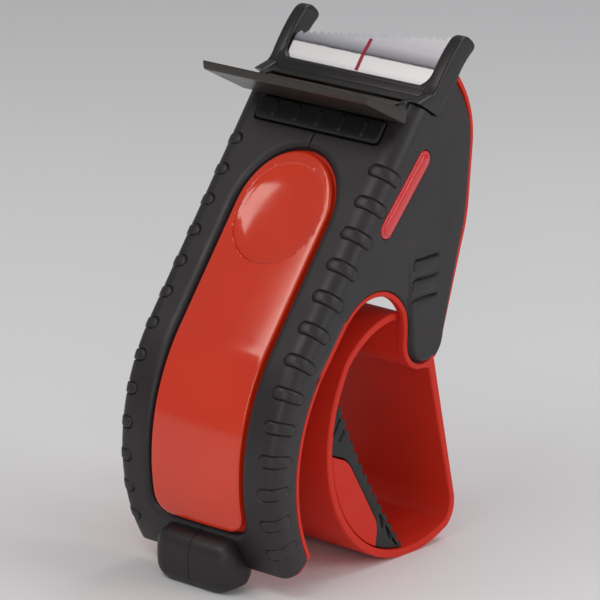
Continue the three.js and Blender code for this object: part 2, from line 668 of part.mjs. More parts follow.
function hubRing() {
  const tube = cut(slab(hubOutline(0), -HUB.half, HUB.half, 20), slab(hubOutline(HUB.wall), -40, 40, 20));
  const lug = new THREE.Shape();
  lug.moveTo(-5.2, 56.6);
  lug.lineTo(-5.6, 67.6);
  lug.quadraticCurveTo(-5.4, 70.4, -2.8, 70.6);
  lug.lineTo(4.4, 70.6);
  lug.quadraticCurveTo(7.4, 70.4, 8, 67.6);
  lug.lineTo(10, 53.4);
  const plate = slab(lug, 21.4, HUB.half, 8);
  const holes = HUB_SCREWS.map(({ y, z }) => bar(1.25, 15, 40, { y, z }, 20));
  const ground = block(-60, 60, -80, 60, -5, 0);
  return cut(union(tube, plate), ...holes, latchSlot(0.4), ground);
}

// The latch tongue lies in the straight back wall of the hub, at its open end.
function hubWallPoint(z, depth) {
  const t = (z - 12.6) / (54.2 - 12.6);
  return [24.0 - 13.8 * t - depth, z - depth * 0.33];
}

function latchSlot(grow) {
  const z0 = 28 - grow;
  const z1 = 36 + grow;
  const shape = polygon([hubWallPoint(z0, -2), hubWallPoint(z1, -2), hubWallPoint(z1, 4), hubWallPoint(z0, 4)]);
  return slab(shape, -40, -13 + grow);
}

function coreLatch() {
  const strip = polygon([hubWallPoint(28, 0.3), hubWallPoint(36, 0.3), hubWallPoint(36, 1.9), hubWallPoint(28, 1.9)]);
  const hook = polygon([hubWallPoint(28, -1.3), hubWallPoint(36, -1.3), hubWallPoint(36, 1.9), hubWallPoint(28, 1.9)]);
  const thumb = polygon([hubWallPoint(30, 1.8), hubWallPoint(34, 1.8), hubWallPoint(34, 5), hubWallPoint(30, 5)]);
  return union(slab(strip, -24.6, -13), slab(hook, -26.2, -24.5), slab(thumb, -26.2, -25));
}

function hubScrew({ y, z }) {
  const shank = bar(1.2, 20, FRAME_FACE - 0.05, { y, z }, 20);
  const head = bar(2.4, 19.6, 21.35, { y, z }, 24);
  const slotCut = block(19, 20.4, y - 3, y + 3, z - 0.35, z + 0.35);
  return cut(union(shank, head), slotCut);
}

// ---------------------------------------------------------------- palm grip in the hub
function gripSegment() {
  const deg = THREE.MathUtils.degToRad;
  const shape = new THREE.Shape();
  const radius = HUB.r - HUB.wall - FIT;
  const end = [HUB.y + radius * Math.cos(deg(-92)), HUB.z + radius * Math.sin(deg(-92))];
  shape.absarc(HUB.y, HUB.z, radius, deg(-92), deg(-199), true);
  shape.quadraticCurveTo(-20, 29, ...end);
  return shape;
}

function gripInsert(grow) {
  const deg = THREE.MathUtils.degToRad;
  const shape = new THREE.Shape();
  shape.absarc(HUB.y, HUB.z, HUB.r - HUB.wall - FIT + grow, deg(-114) + grow / 36, deg(-174) - grow / 36, true);
  shape.lineTo(-27.6 + grow, 33.6 + grow);
  shape.quadraticCurveTo(-25.4 + grow, 32.6 + grow, -23.4 + grow, 29.6 + grow);
  shape.lineTo(-12.3 + grow, 14.2 + grow);
  shape.quadraticCurveTo(-10.4 + grow, 11.4 + grow, -11 + grow, 8.2);
  return shape;
}

function palmGripCore() {
  return slab(gripInsert(0), -24, 24, 10);
}

function palmGripPad() {
  return cut(slab(gripSegment(), -23.4, 23.4, 10), slab(gripInsert(0.3), -40, 40, 10));
}

// ---------------------------------------------------------------- assembly
const dispenser = new THREE.Group();
dispenser.name = 'tape_gun_dispenser';

// The side walls, and everything that passes through them, draw in towards the foot.
function tapered(x, y, z) {
  const beyond = Math.abs(x) - TAPER.from;
  const share = TAPER.low + ((1 - TAPER.low) * (z - TAPER.z)) / TAPER.rise;
  return beyond > 0 ? [Math.sign(x) * (TAPER.from + beyond * share), y, z] : [x, y, z];
}

function addPart(name, manifold, look) {
  const geometry = remap(toGeometry(manifold), tapered).translate(0, SHIFT_Y, 0);
  geometry.computeVertexNormals();
  const mesh = new THREE.Mesh(geometry, new THREE.MeshStandardMaterial(look));
  mesh.name = name;
  dispenser.add(mesh);
}

addPart('right_frame', rightFrame(), RED);
addPart('left_frame', leftFrame(), RED);
addPart('right_cover', rightCover(), SIDE_BLACK);
addPart('left_cover', leftCover(), SIDE_BLACK);
addPart('rear_cover', rearCover(), RED);
addPart('front_panel', frontPanel(), GLOSS_RED);
addPart('right_accent', accent(), GLOSS_RED);
addPart('left_accent', mirrored(accent()), GLOSS_RED);
addPart('head_frame', headFrame(), BLACK);
addPart('blade', blade(), STEEL);
addPart('blade_mark', bladeMark(), CRIMSON);
addPart('blade_carrier', bladeCarrier(), GREY);
addPart('blade_screw_right', bladeScrew(1), DARK_STEEL);
addPart('blade_screw_left', bladeScrew(-1), DARK_STEEL);
addPart('wiper_flap', flap(), BLACK);
addPart('flap_pin', bar(HINGE.pin, -24.1, 24.1, HINGE, 20), DARK_STEEL);
addPart('flap_spring', flapSpring(), DARK_STEEL);
addPart('thumb_button', thumbButton(), BLACK);
addPart('button_spring_right', buttonSpring(1), DARK_STEEL);
addPart('button_spring_left', buttonSpring(-1), DARK_STEEL);
addPart('brake_lever', brakeLever(), GREY);
addPart('brake_shoe', brakeShoe(), RUBBER);
addPart('brake_pin', axle(BRAKE), DARK_STEEL);
addPart('guide_roller', roller(GUIDE, GUIDE.r), GREY);
addPart('guide_axle', axle(GUIDE), DARK_STEEL);
addPart('tension_roller', roller(TENSION, TENSION.core), GREY);
addPart('tension_axle', axle(TENSION), DARK_STEEL);
addPart('roller_sleeve_right', rollerSleeve(1), RUBBER);
addPart('roller_sleeve_left', rollerSleeve(-1), RUBBER);
addPart('hub_ring', hubRing(), RED);
addPart('core_latch', coreLatch(), RED);
addPart('palm_grip_core', palmGripCore(), RED);
addPart('palm_grip_pad', palmGripPad(), RUBBER);
for (const screw of HUB_SCREWS) {
  addPart(screw.name, hubScrew(screw), DARK_STEEL);
}
for (const screw of CASE_SCREWS) {
  addPart(screw.name, caseScrew(screw), DARK_STEEL);
}

export default dispenser;
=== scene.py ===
import math

import bmesh
import bpy
import numpy as np
from mathutils import Matrix, Vector
from mathutils.geometry import delaunay_2d_cdt

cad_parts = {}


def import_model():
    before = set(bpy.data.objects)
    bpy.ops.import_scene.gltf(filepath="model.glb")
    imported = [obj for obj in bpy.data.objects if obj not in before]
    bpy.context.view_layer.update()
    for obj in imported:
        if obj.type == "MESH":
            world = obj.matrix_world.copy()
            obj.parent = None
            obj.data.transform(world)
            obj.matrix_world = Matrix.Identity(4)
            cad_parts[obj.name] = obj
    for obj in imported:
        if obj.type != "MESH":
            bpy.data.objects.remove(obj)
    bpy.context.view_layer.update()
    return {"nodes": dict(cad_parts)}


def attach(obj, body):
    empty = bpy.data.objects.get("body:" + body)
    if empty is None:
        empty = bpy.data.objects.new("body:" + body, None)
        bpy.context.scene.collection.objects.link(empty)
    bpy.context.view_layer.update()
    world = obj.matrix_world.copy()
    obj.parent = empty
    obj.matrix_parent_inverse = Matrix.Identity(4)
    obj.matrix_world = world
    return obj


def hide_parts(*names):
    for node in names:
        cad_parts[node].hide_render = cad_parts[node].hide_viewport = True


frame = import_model()
nodes = frame["nodes"]

MM = 0.001


# ---- material building blocks
class Look:
    """A material, with short names for adding nodes to it."""

    def __init__(self, name, roughness, metallic=0.0, coat=0.0, specular=0.5):
        self.material = bpy.data.materials.new(name)
        self.material.use_nodes = True
        self.tree = self.material.node_tree
        self.shader = self.tree.nodes["Principled BSDF"]
        self.set(self.shader, {"Roughness": roughness, "Metallic": metallic, "Coat Weight": coat,
                               "Coat Roughness": 0.1, "Specular IOR Level": specular})
        self.coords = self.node("TexCoord").outputs["Object"]

    def set(self, node, values):
        for socket, value in values.items():
            node.inputs[socket].default_value = value

    def node(self, kind, **values):
        """A new shader node; an input's name is given with _ for its spaces."""
        node = self.tree.nodes.new("ShaderNode" + kind)
        self.set(node, {name.replace("_", " "): value for name, value in values.items()})
        return node

    def link(self, output, node, socket):
        self.tree.links.new(output, node.inputs[socket])

    def noise(self, scale, detail=3.0, stretch=(1, 1, 1)):
        mapping = self.node("Mapping", Scale=stretch)
        self.link(self.coords, mapping, "Vector")
        noise = self.node("TexNoise", Scale=scale, Detail=detail)
        self.link(mapping.outputs["Vector"], noise, "Vector")
        return noise.outputs["Fac"]

    def ramp(self, value, stops):
        """Colours for a value, from stops of (place, colour)."""
        ramp = self.node("ValToRGB")
        elements = ramp.color_ramp.elements
        while len(elements) < len(stops):
            elements.new(0.5)
        for element, (place, color) in zip(elements, stops):
            element.position = place
            element.color = (*color, 1)
        self.link(value, ramp, "Fac")
        return ramp.outputs["Color"]

    def range(self, value, low, high, from_low=0.3, from_high=0.7):
        spread = self.node("MapRange", From_Min=from_low, From_Max=from_high, To_Min=low, To_Max=high)
        self.link(value, spread, "Value")
        return spread.outputs["Result"]

    def height(self, low, high):
        """0 at the low height, 1 at the high one."""
        split = self.node("SeparateXYZ")
        self.link(self.coords, split, "Vector")
        return self.range(split.outputs["Z"], 0, 1, low, high)

    def add(self, value, other, share):
        """A value with a share of another added."""
        node = self.node("Math")
        node.operation = "MULTIPLY_ADD"
        node.inputs[1].default_value = share
        self.link(other, node, 0)
        self.link(value, node, 2)
        return node.outputs["Value"]

    def color(self, output):
        self.link(output, self.shader, "Base Color")

    def roughness(self, output):
        self.link(output, self.shader, "Roughness")

    def bump(self, height, strength, distance):
        bump = self.node("Bump", Strength=strength, Distance=distance)
        self.link(height, bump, "Height")
        self.link(bump.outputs["Normal"], self.shader, "Normal")


def moulded(name, dark, light, roughness, grain, depth, coat=0.0, specular=0.5):
    """Moulded plastic: a slow colour drift, uneven gloss and a fine grain, its depth in millimetres."""
    look = Look(name, roughness, coat=coat, specular=specular)
    look.color(look.ramp(look.noise(55, 4), [(0.3, dark), (0.7, light)]))
    look.roughness(look.range(look.noise(140, 4), roughness - 0.04, roughness + 0.05))
    look.bump(look.noise(grain, 2), 0.35, depth * MM)
    return look.material


def blade_steel():
    """Bright ground strip with painted shade in its colour: a painted shadow line at the fold and painted
    shade on the upper band that fades out towards the teeth.
    """
    look = Look("blade_steel", 0.4, metallic=1.0)
    grind = look.noise(420, 4, (1, 24, 24))
    up = look.add(look.height(130.8 * MM, 143.0 * MM), grind, 0.05)
    # painted shade in the colour stops: the dark stop at 0.375 is a painted shadow line at the fold, and the
    # upper band's climb from dark to light is painted shade
    stops = [(0.0, (0.62, 0.62, 0.66)), (0.12, (0.86, 0.86, 0.88)), (0.355, (0.95, 0.95, 0.96)),
             (0.375, (0.10, 0.10, 0.12)), (0.43, (0.34, 0.34, 0.38)), (0.62, (0.76, 0.76, 0.82)),
             (0.85, (0.94, 0.94, 0.97)), (1.0, (0.97, 0.97, 0.98))]
    look.color(look.ramp(up, stops))
    look.roughness(look.range(grind, 0.36, 0.44))
    look.bump(grind, 0.1, 0.01 * MM)
    return look.material


def pin_steel():
    """Metal with fine lines running across it."""
    look = Look("pin_steel", 0.34, metallic=1.0)
    lines = look.noise(900, 5, (1, 12, 12))
    look.color(look.ramp(lines, [(0.3, (0.40, 0.41, 0.43)), (0.7, (0.52, 0.53, 0.55))]))
    look.roughness(look.range(lines, 0.29, 0.42))
    look.bump(lines, 0.15, 0.02 * MM)
    return look.material


LOOKS = {
    "cover": moulded("soft_touch_black", (0.016, 0.0125, 0.0145), (0.021, 0.017, 0.0195), 0.44, 2600, 0.03),
    "head": moulded("head_black", (0.012, 0.010, 0.0095), (0.017, 0.014, 0.013), 0.36, 3000, 0.02),
    # the flap's black is lighter and browner than the head's: painted light, standing in for the light its
    # front edge and shelf catch
    "flap": moulded("flap_black_painted_light", (0.026, 0.021, 0.016), (0.036, 0.029, 0.022), 0.36, 3000, 0.02),
    "button": moulded("button_black", (0.006, 0.005, 0.005), (0.009, 0.008, 0.007), 0.5, 2600, 0.03),
    "rubber": moulded("grip_rubber", (0.008, 0.009, 0.010), (0.012, 0.013, 0.015), 0.55, 1800, 0.05),
    "red": moulded("satin_red", (0.66, 0.028, 0.014), (0.72, 0.034, 0.016), 0.5, 1500, 0.01, specular=0.2),
    "gloss": moulded("gloss_red", (0.72, 0.030, 0.002), (0.78, 0.038, 0.003), 0.12, 260, 0.01, coat=0.6),
    "accent": moulded("accent_red", (0.68, 0.014, 0.018), (0.74, 0.018, 0.022), 0.16, 900, 0.01, coat=0.4),
    "nylon": moulded("grey_acetal", (0.36, 0.36, 0.35), (0.42, 0.42, 0.41), 0.4, 1200, 0.02),
    "steel": blade_steel(),
    "pin": pin_steel(),
    "mark": moulded("crimson_print", (0.36, 0.006, 0.03), (0.44, 0.010, 0.04), 0.4, 2400, 0.01),
}

# CAD nodes that are shown as they are; the others among them are steel pins, screws and springs
NODE_LOOKS = {"blade": "steel", "blade_mark": "mark", "rear_cover": "red", "core_latch": "red"}
NODE_LOOKS |= dict.fromkeys(("blade_carrier", "brake_lever", "guide_roller", "tension_roller"), "nylon")
NODE_LOOKS |= dict.fromkeys(("brake_shoe", "roller_sleeve_right", "roller_sleeve_left"), "rubber")


def placed(name, data):
    obj = bpy.data.objects.new(name, data)
    bpy.context.scene.collection.objects.link(obj)
    return obj


def dress(obj, look):
    """Gives every slot of a piece one material."""
    obj.data.materials.clear()
    obj.data.materials.append(LOOKS[look])


def soften(obj):
    """Joins the split corners of a CAD node, rounds its edges and shades it smooth."""
    mesh = obj.data
    if "custom_normal" in mesh.attributes:
        mesh.attributes.remove(mesh.attributes["custom_normal"])
    mesh.polygons.foreach_set("use_smooth", [True] * len(mesh.polygons))
    weld = obj.modifiers.new("weld", "WELD")
    weld.merge_threshold = 0.002 * MM
    bevel = obj.modifiers.new("bevel", "BEVEL")
    bevel.width = 0.12 * MM
    bevel.segments = 2
    bevel.limit_method = "ANGLE"
    bevel.angle_limit = math.radians(28)
    bevel.harden_normals = False
    shade = obj.modifiers.new("normals", "WEIGHTED_NORMAL")
    shade.keep_sharp = False


# ---- driving dimensions, in millimetres
SHIFT_Y = 18.9  # from the dispenser's own frame to the row frame
FRONT_Y, FRONT_Z, FRONT_R = -8.7, 36.9, 52.85  # arc of the front wall
SLOPE = math.radians(54.8)  # slope of its straight upper part
FOOT_TURN = 213  # angle of the sides' arcs at the foot, in degrees
COVER_FACE = 27.6  # outer face of the black covers
CORNER = 5.0  # radius between the front and the side of a cover
BEND = COVER_FACE - CORNER  # where the corner starts across the front
WRAP_END = 7.0  # depth at which the wrapped front meets the flat side
RIM = 1.6  # red rim left showing round the covers
SEAM = 0.08  # half the centre gap
RIBS = 13
RIB_FIRST, RIB_PITCH = -56.5, 9.2  # place of the lowest rib along the front wall, and the step
RIB_FROM, RIB_TO = 23.0, 30.4  # ends of a rib's axis, across the wrapped front
RIB_R, GROOVE_R = 1.42, 1.66  # round end of a rib, and the groove round it
FLAP_ROOM = 24.33  # half the width left open for the flap at the top
TAPER_X, TAPER_FROM, TAPER_OVER = 24.3, 5, 120  # where the side walls thin, and over which heights
FOOT_SHARE = 0.62  # what is left of them at the foot
SHARP = math.radians(35)  # edges that turn more than this stay sharp
EDGE_STEPS = (0.06, 0.2, 0.42, 0.7, 1.0)  # rows of points on an edge, as shares of its radius


def on_front(s, depth):
    """Place (y, z) on the front wall: s runs along it, depth goes into it."""
    angle = math.pi / 2 + SLOPE - np.minimum(s, 0) / FRONT_R
    run = np.maximum(s, 0)
    radius = FRONT_R - depth
    y = FRONT_Y + radius * np.cos(angle) + run * math.cos(SLOPE)
    z = FRONT_Z + radius * np.sin(angle) + run * math.sin(SLOPE)
    return y, z


def front_s(y, z):
    """The length along the front wall that belongs to a place (y, z), and its depth."""
    along = (y - FRONT_Y) * math.cos(SLOPE) + (z - FRONT_Z) * math.sin(SLOPE)
    inwards = (y - FRONT_Y) * math.sin(SLOPE) - (z - FRONT_Z) * math.cos(SLOPE)
    angle = np.arctan2(z - FRONT_Z, y - FRONT_Y) % (2 * math.pi)
    s_arc = -(angle - math.pi / 2 - SLOPE) * FRONT_R
    radius = np.hypot(y - FRONT_Y, z - FRONT_Z)
    return np.where(along > 0, along, s_arc), np.where(along > 0, FRONT_R + inwards, FRONT_R - radius)


# ---- outlines as lists of points
def on_circle(centre, radius, turn):
    """The place on a circle at an angle in radians."""
    return (centre[0] + radius * math.cos(turn), centre[1] + radius * math.sin(turn))


def arc(centre, radius, start, end, step=0.5):
    """Points on an arc, angles in degrees."""
    count = max(3, int(abs(math.radians(end - start)) * radius / step) + 1)
    angles = np.radians(np.linspace(start, end, count))
    return np.column_stack((centre[0] + radius * np.cos(angles), centre[1] + radius * np.sin(angles)))


def curve(a, b, c, step=0.5):
    """A quadratic curve from a to c that aims at b."""
    a, b, c = (np.array(p, float) for p in (a, b, c))
    count = max(3, int((np.linalg.norm(b - a) + np.linalg.norm(c - b)) / step) + 1)
    t = np.linspace(0, 1, count)[:, None]
    return (1 - t) ** 2 * a + 2 * t * (1 - t) * b + t * t * c


def curves(points):
    """Curves through every second point, aiming at the points between."""
    lines = [curve(*points[i : i + 3]) for i in range(0, len(points) - 2, 2)]
    return np.vstack([lines[0][:1]] + [line[1:] for line in lines])


def resample(points, step, closed=False):
    """Even steps along a line of points, keeping its corners."""
    points = np.array(points, float)
    if closed:
        points = np.vstack((points, points[:1]))
    out = []
    for a, b in zip(points[:-1], points[1:]):
        length = np.linalg.norm(b - a)
        if length < 1e-4:
            continue
        count = max(1, int(round(length / step)))
        for i in range(count):
            out.append(a + (b - a) * i / count)
    if not closed:
        out.append(points[-1])
    return np.array(out)


def rounded(points, radius, step=0.4):
    """A closed outline with its corners rounded."""
    points = np.array(points, float)
    out = []
    count = len(points)
    for i in range(count):
        before, here, after = points[i - 1], points[i], points[(i + 1) % count]
        back = before - here
        ahead = after - here
        reach = min(radius, np.linalg.norm(back) * 0.45, np.linalg.norm(ahead) * 0.45)
        start = here + back / np.linalg.norm(back) * reach
        end = here + ahead / np.linalg.norm(ahead) * reach
        out.extend(curve(start, here, end, step))
    return resample(out, step, closed=True)


def capsule(a, b, radius, step=0.35):
    """A closed outline at this distance round the line from a to b."""
    a, b = np.array(a, float), np.array(b, float)
    angle = math.degrees(math.atan2(b[1] - a[1], b[0] - a[0]))
    ends = (arc(b, radius, angle - 90, angle + 90, step), arc(a, radius, angle + 90, angle + 270, step))
    return resample(np.vstack(ends), step, closed=True)


# ---- plane geometry
def inside(points, loops):
    """Which points lie inside an odd number of the closed loops."""
    result = np.zeros(len(points), bool)
    for loop in loops:
        a, b = loop, np.roll(loop, -1, 0)
        rise = b[:, 1] - a[:, 1]
        rise = np.where(np.abs(rise) < 1e-12, 1e-12, rise)
        for first in range(0, len(points), 3000):
            p = points[first : first + 3000]
            crosses = (a[:, 1] > p[:, 1:2]) != (b[:, 1] > p[:, 1:2])
            x = a[:, 0] + (p[:, 1:2] - a[:, 1]) * (b[:, 0] - a[:, 0]) / rise
            hits = (crosses & (p[:, 0:1] < x)).sum(1)
            result[first : first + 3000] ^= hits % 2 == 1
    return result


def distance(points, line):
    """Distance of each point to an open line."""
    line = np.array(line, float)
    a, b = line[:-1], line[1:]
    ab = b - a
    square = np.maximum((ab**2).sum(1), 1e-12)
    result = np.empty(len(points))
    for first in range(0, len(points), 3000):
        p = points[first : first + 3000, None, :]
        t = np.clip(((p - a) * ab).sum(2) / square, 0, 1)
        gap = p - (a + t[:, :, None] * ab)
        result[first : first + 3000] = np.sqrt((gap**2).sum(2).min(1))
    return result


def chain(*lines):
    """Lines joined end to end, each without its last point."""
    return np.vstack([line[:-1] for line in lines])


def closed_line(loop):
    """A closed outline as a line that ends where it starts."""
    return np.vstack((loop, loop[:1]))


def beside(line, offsets):
    """Rows of points at these distances to both sides of a line."""
    line = np.array(line, float)
    ahead = np.gradient(line, axis=0)
    ahead /= np.maximum(np.linalg.norm(ahead, axis=1, keepdims=True), 1e-9)
    normal = np.column_stack((-ahead[:, 1], ahead[:, 0]))
    return np.vstack([line + side * offset * normal for offset in offsets for side in (-1, 1)])


def grid(low, high, step):
    """Points in staggered rows over a rectangle."""
    columns = np.arange(low[0], high[0], step)
    lines = np.arange(low[1], high[1], step * 0.87)
    points = [(x + (0.5 * step if j % 2 else 0), y) for j, y in enumerate(lines) for x in columns]
    return np.array(points)


def triangulate(loops, points):
    """Triangles over the region inside the first loop and outside the others."""
    corners = []
    edges = []
    for loop in loops:
        first = len(corners)
        corners.extend(Vector(p) for p in loop)
        edges.extend((first + i, first + (i + 1) % len(loop)) for i in range(len(loop)))
    corners.extend(Vector(p) for p in points)
    out = delaunay_2d_cdt(corners, edges, [], 1, 1e-5)
    flat = np.array([p[:] for p in out[0]])
    faces = np.array([f[:] for f in out[2]])
    return flat, faces[inside(flat[faces].mean(1), loops)]


# ---- height fields made into solids
def edge_drop(points, edges):
    """How far the surface falls towards its rounded edges: edges is a list of (line, radius)."""
    drop = np.zeros(len(points))
    for line, radius in edges:
        d = np.minimum(distance(points, line), radius)
        drop = np.maximum(drop, radius - np.sqrt(radius**2 - (radius - d) ** 2))
    return drop


class Sheet:
    """A flat region with extra points near its edges and on the given rows, to be lifted into a surface.
    Where fine[0] says so, its points are fine[1] apart."""

    def __init__(self, loops, edges, step, rows=(), fine=None):
        low = loops[0].min(0)
        high = loops[0].max(0)
        near = [beside(line, [radius * k for k in EDGE_STEPS]) for line, radius in edges]
        near.extend(rows)
        points = grid(low, high, step)
        clear = np.ones(len(points), bool)
        for line, radius in edges:
            clear &= distance(points, line) > radius + 0.3 * step
        if fine is not None:
            clear &= ~fine[0](points)
            small = grid(low, high, fine[1])
            near.append(small[fine[0](small)])
        near.append(points[clear])
        points = np.vstack(near)
        points = points[inside(points, loops)]
        border = np.full(len(points), 1e9)
        for loop in loops:
            border = np.minimum(border, distance(points, closed_line(loop)))
        keep = border > 0.03
        self.points, self.faces = triangulate(loops, points[keep])
        self.drop = edge_drop(self.points, edges)


def tapered(points):
    """The side walls thin towards the foot, as in the CAD."""
    share = FOOT_SHARE + (1 - FOOT_SHARE) * (points[:, 2] - TAPER_FROM) / TAPER_OVER
    beyond = np.maximum(np.abs(points[:, 0]) - TAPER_X, 0)
    points[:, 0] -= np.sign(points[:, 0]) * beyond * (1 - share)
    return points


def solid(name, parts, look, mirror=False, body="body"):
    """A piece that moves with a body: one closed mesh from sheets, joined where their flat places agree.
    Each of parts holds (faces, flat places, outer places, inner places)."""
    places = {}
    outer = []
    inner = []
    faces = []
    for triangles, flat, top, bottom in parts:
        index = []
        for base, a, b in zip(flat, top, bottom):
            key = tuple(np.round(base, 2))
            if key not in places:
                places[key] = len(outer)
                outer.append(a)
                inner.append(b)
            index.append(places[key])
        for face in triangles:
            corners = [index[i] for i in face]
            if len(set(corners)) == 3:
                faces.append(corners)
    count = len(outer)
    used = {}
    for face in faces:
        for i in range(3):
            used[(face[i], face[(i + 1) % 3])] = True
    rim = [(b, a, a + count, b + count) for a, b in used if (b, a) not in used]
    everything = faces + [[i + count for i in reversed(face)] for face in faces] + rim
    points = tapered(np.array(outer + inner))
    points *= (-1 if mirror else 1, 1, 1)
    points[:, 1] += SHIFT_Y
    if mirror:
        everything = [list(reversed(face)) for face in everything]
    mesh = bpy.data.meshes.new(name)
    mesh.from_pydata((points * MM).tolist(), [], [list(map(int, face)) for face in everything])
    mesh.polygons.foreach_set("use_smooth", [True] * len(mesh.polygons))
    mesh.set_sharp_from_angle(angle=SHARP)
    mesh.validate()
    obj = placed(name, mesh)
    mesh.materials.append(LOOKS[look])
    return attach(obj, body)


def joined(name, pieces):
    """Several closed meshes as one piece."""
    mesh = bmesh.new()
    material = pieces[0].data.materials[0]
    for piece in pieces:
        mesh.from_mesh(piece.data)
        bpy.data.objects.remove(piece)
    data = bpy.data.meshes.new(name)
    mesh.to_mesh(data)
    mesh.free()
    data.materials.append(material)
    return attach(placed(name, data), "body")


def cut_away(piece, parts):
    """Takes a closed shape out of a piece."""
    cutter = solid("cutter", parts, "red")
    modifier = piece.modifiers.new("cut", "BOOLEAN")
    modifier.operation = "DIFFERENCE"
    modifier.solver = "EXACT"
    modifier.object = cutter
    view = bpy.context.evaluated_depsgraph_get()
    mesh = bpy.data.meshes.new_from_object(piece.evaluated_get(view))
    piece.modifiers.clear()
    mesh.set_sharp_from_angle(angle=SHARP)
    piece.data = mesh
    bpy.data.objects.remove(cutter)


def stands_for(piece, node):
    """Hides a CAD node, for a piece to show in its place."""
    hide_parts(node)


def side_places(levels, y, z):
    """Places on a side, one set for each distance x from the middle."""
    return [np.column_stack((x, y, z)) for x in levels]


def wall_places(x, s, lifts):
    """Places along the front wall, one set for each lift above it."""
    places = []
    for lift in lifts:
        y, z = on_front(s, -lift)
        places.append(np.column_stack((x, y, z)))
    return places


def plate_parts(loops, x0, x1, radius, step=2.0):
    """A side outline (y, z) pushed across the part from x0 to x1, with rounded edges."""
    sheet = Sheet(loops, [(closed_line(loop), radius) for loop in loops], step)
    y, z = sheet.points.T
    return (sheet.faces, *side_places((0 * y + x1, x1 - sheet.drop, x0 + sheet.drop), y, z))


# ---- sides of the dispenser
SEAM_FRONT, SEAM_LOW, SEAM_BACK = (-9.3, 128.3), (-0.6, 123.6), (7.6, 132.0)  # where the head begins
ARCH_END = 34  # angle at which the arch over the hub runs into the leg
LEG_END, LEG_R = (1.4, 62.6), 9.0  # round end of the leg on the right side
FOOT_AIM = {False: (-49.3, 3.2), True: (-51.4, 3.4)}  # where the foot's curve aims on the right, on the left


def cover_back(inset):
    """Back edge of a side, from the leg up to the head."""
    low = curve((16.2 - inset, 86.5), (17.9 - inset, 92), (17.9 - inset, 98))
    high = curve((17.9 - inset, 113), (17.9 - inset, 124 - inset), (9.2 - inset, 133 - inset))
    return np.vstack((low, resample([low[-1], high[0]], 0.5)[1:-1], high))


def right_back(inset):
    """Inner edge, arch, leg and back of the right side, from the foot up."""
    inner = arc((-5.65, 35.3), 44.3 + inset, FOOT_TURN, 150)
    arch = arc((-21.5, 62.8), 14.85 + inset, 138, ARCH_END)
    leg = arc(LEG_END, LEG_R - inset, 180, 360)
    fall = (leg[0, 0] - arch[-1, 0]) / math.tan(math.radians(ARCH_END))
    bend = curve(arch[-1], (leg[0, 0], arch[-1, 1] - fall), leg[0])
    arch = np.vstack((arch[:-1], bend[:-1]))
    back = cover_back(inset)
    return np.vstack((inner, arch, leg, resample([leg[-1], back[0]], 0.5)[1:-1], back))


def left_back(inset):
    """Inner edge and back of the left side, open round the roll of tape."""
    radius = 53.6 + inset
    end = math.degrees(math.acos((16.4 - inset + 2.8) / radius))
    return np.vstack((arc((-2.8, 34.8), radius, FOOT_TURN, end), cover_back(inset)))


# ---- covers
COVER_SKIN = 1.4  # thickness of a cover
WRAP_TOP = 74.7  # place along the front wall where the wrap ends
FLAP_LOW = 68.3  # the same for the room left open for the flap
BUTTON_LOW, BUTTON_HIGH, BUTTON_HALF = 60.5, 67.9, 20.9  # window for the thumb button
PANEL_WINDOW = (15.6, 16.3, 15.3)  # half width, lowest height and rise of the round top
PANEL = (14.85, 17.05, 14.55)  # the same for the panel in it
PANEL_ROUND = 97.5  # height at which the round top begins
TAB_LINE = ((-8.6, 86), (-6.2, 72), (-5.0, 62.6))  # left edge of the flared tab on the leg
TAB_R = 6.4
HOOKS = (84.6, 79.2, 73.8)  # heights of the three grip steps on the tab
HOOK_MIDDLE = (-0.8, 78.2)
ACCENT_FROM, ACCENT_TO, ACCENT_R = (-5.0, 112.3), (-19.3, 96.0), 2.65
CASE_SCREWS = ((11.5, 119), (10.5, 97), (-24, 90))  # open holes in the left cover


def corner_x(w, lift):
    """Where a place w across the wrapped front lies: x and depth, raised by lift."""
    bend = np.clip((w - BEND) / CORNER, 0, math.pi / 2)
    straight = np.maximum(w - BEND - CORNER * math.pi / 2, 0)
    x = np.minimum(w, BEND) + (CORNER + lift) * np.sin(bend)
    depth = CORNER - (CORNER + lift) * np.cos(bend) + straight
    return x, depth


def wrap_w(depth):
    """The place across the wrapped front that lies at this depth, beyond the start of the corner."""
    bend = np.arccos(np.clip((CORNER - depth) / CORNER, 0, 1))
    return BEND + CORNER * bend + np.maximum(depth - CORNER, 0)


def wrap_place(w, s, lift):
    x, depth = corner_x(w, lift)
    y, z = on_front(s, depth)
    return np.column_stack((x, y, z))


def ribs_lift(w, s):
    """Height of the round-ended ribs, each with a fine groove round it."""
    index = np.clip(np.round((s - RIB_FIRST) / RIB_PITCH), 0, RIBS - 1)
    off = np.abs(s - RIB_FIRST - index * RIB_PITCH)
    beyond = np.maximum(np.maximum(RIB_FROM - w, w - RIB_TO), 0)
    d = np.hypot(off, beyond)
    crown = 0.3 * np.sqrt(np.clip(1 - (d / RIB_R) ** 4, 0, 1))
    groove = -0.34 * np.clip(1 - np.abs(d - GROOVE_R) / 0.3, 0, 1)
    return np.where(d < RIB_R, crown, groove)


def rib_rows():
    """Rows of points round each rib."""
    rows = []
    for i in range(RIBS):
        s = RIB_FIRST + i * RIB_PITCH
        for radius in (0.6, 1.0, 1.22, 1.35, 1.41, 1.46, 1.56, GROOVE_R, 1.8, 1.96):
            rows.append(capsule((RIB_FROM, s), (RIB_TO, s), radius, 0.4))
    return rows


def z_to_s(z):
    """The length along the front wall at height z."""
    start_z = FRONT_Z + FRONT_R * math.cos(SLOPE)
    angle = math.pi - np.arcsin(np.clip((z - FRONT_Z) / FRONT_R, -1, 1))
    return np.where(z > start_z, (z - start_z) / math.sin(SLOPE), -(angle - math.pi / 2 - SLOPE) * FRONT_R)


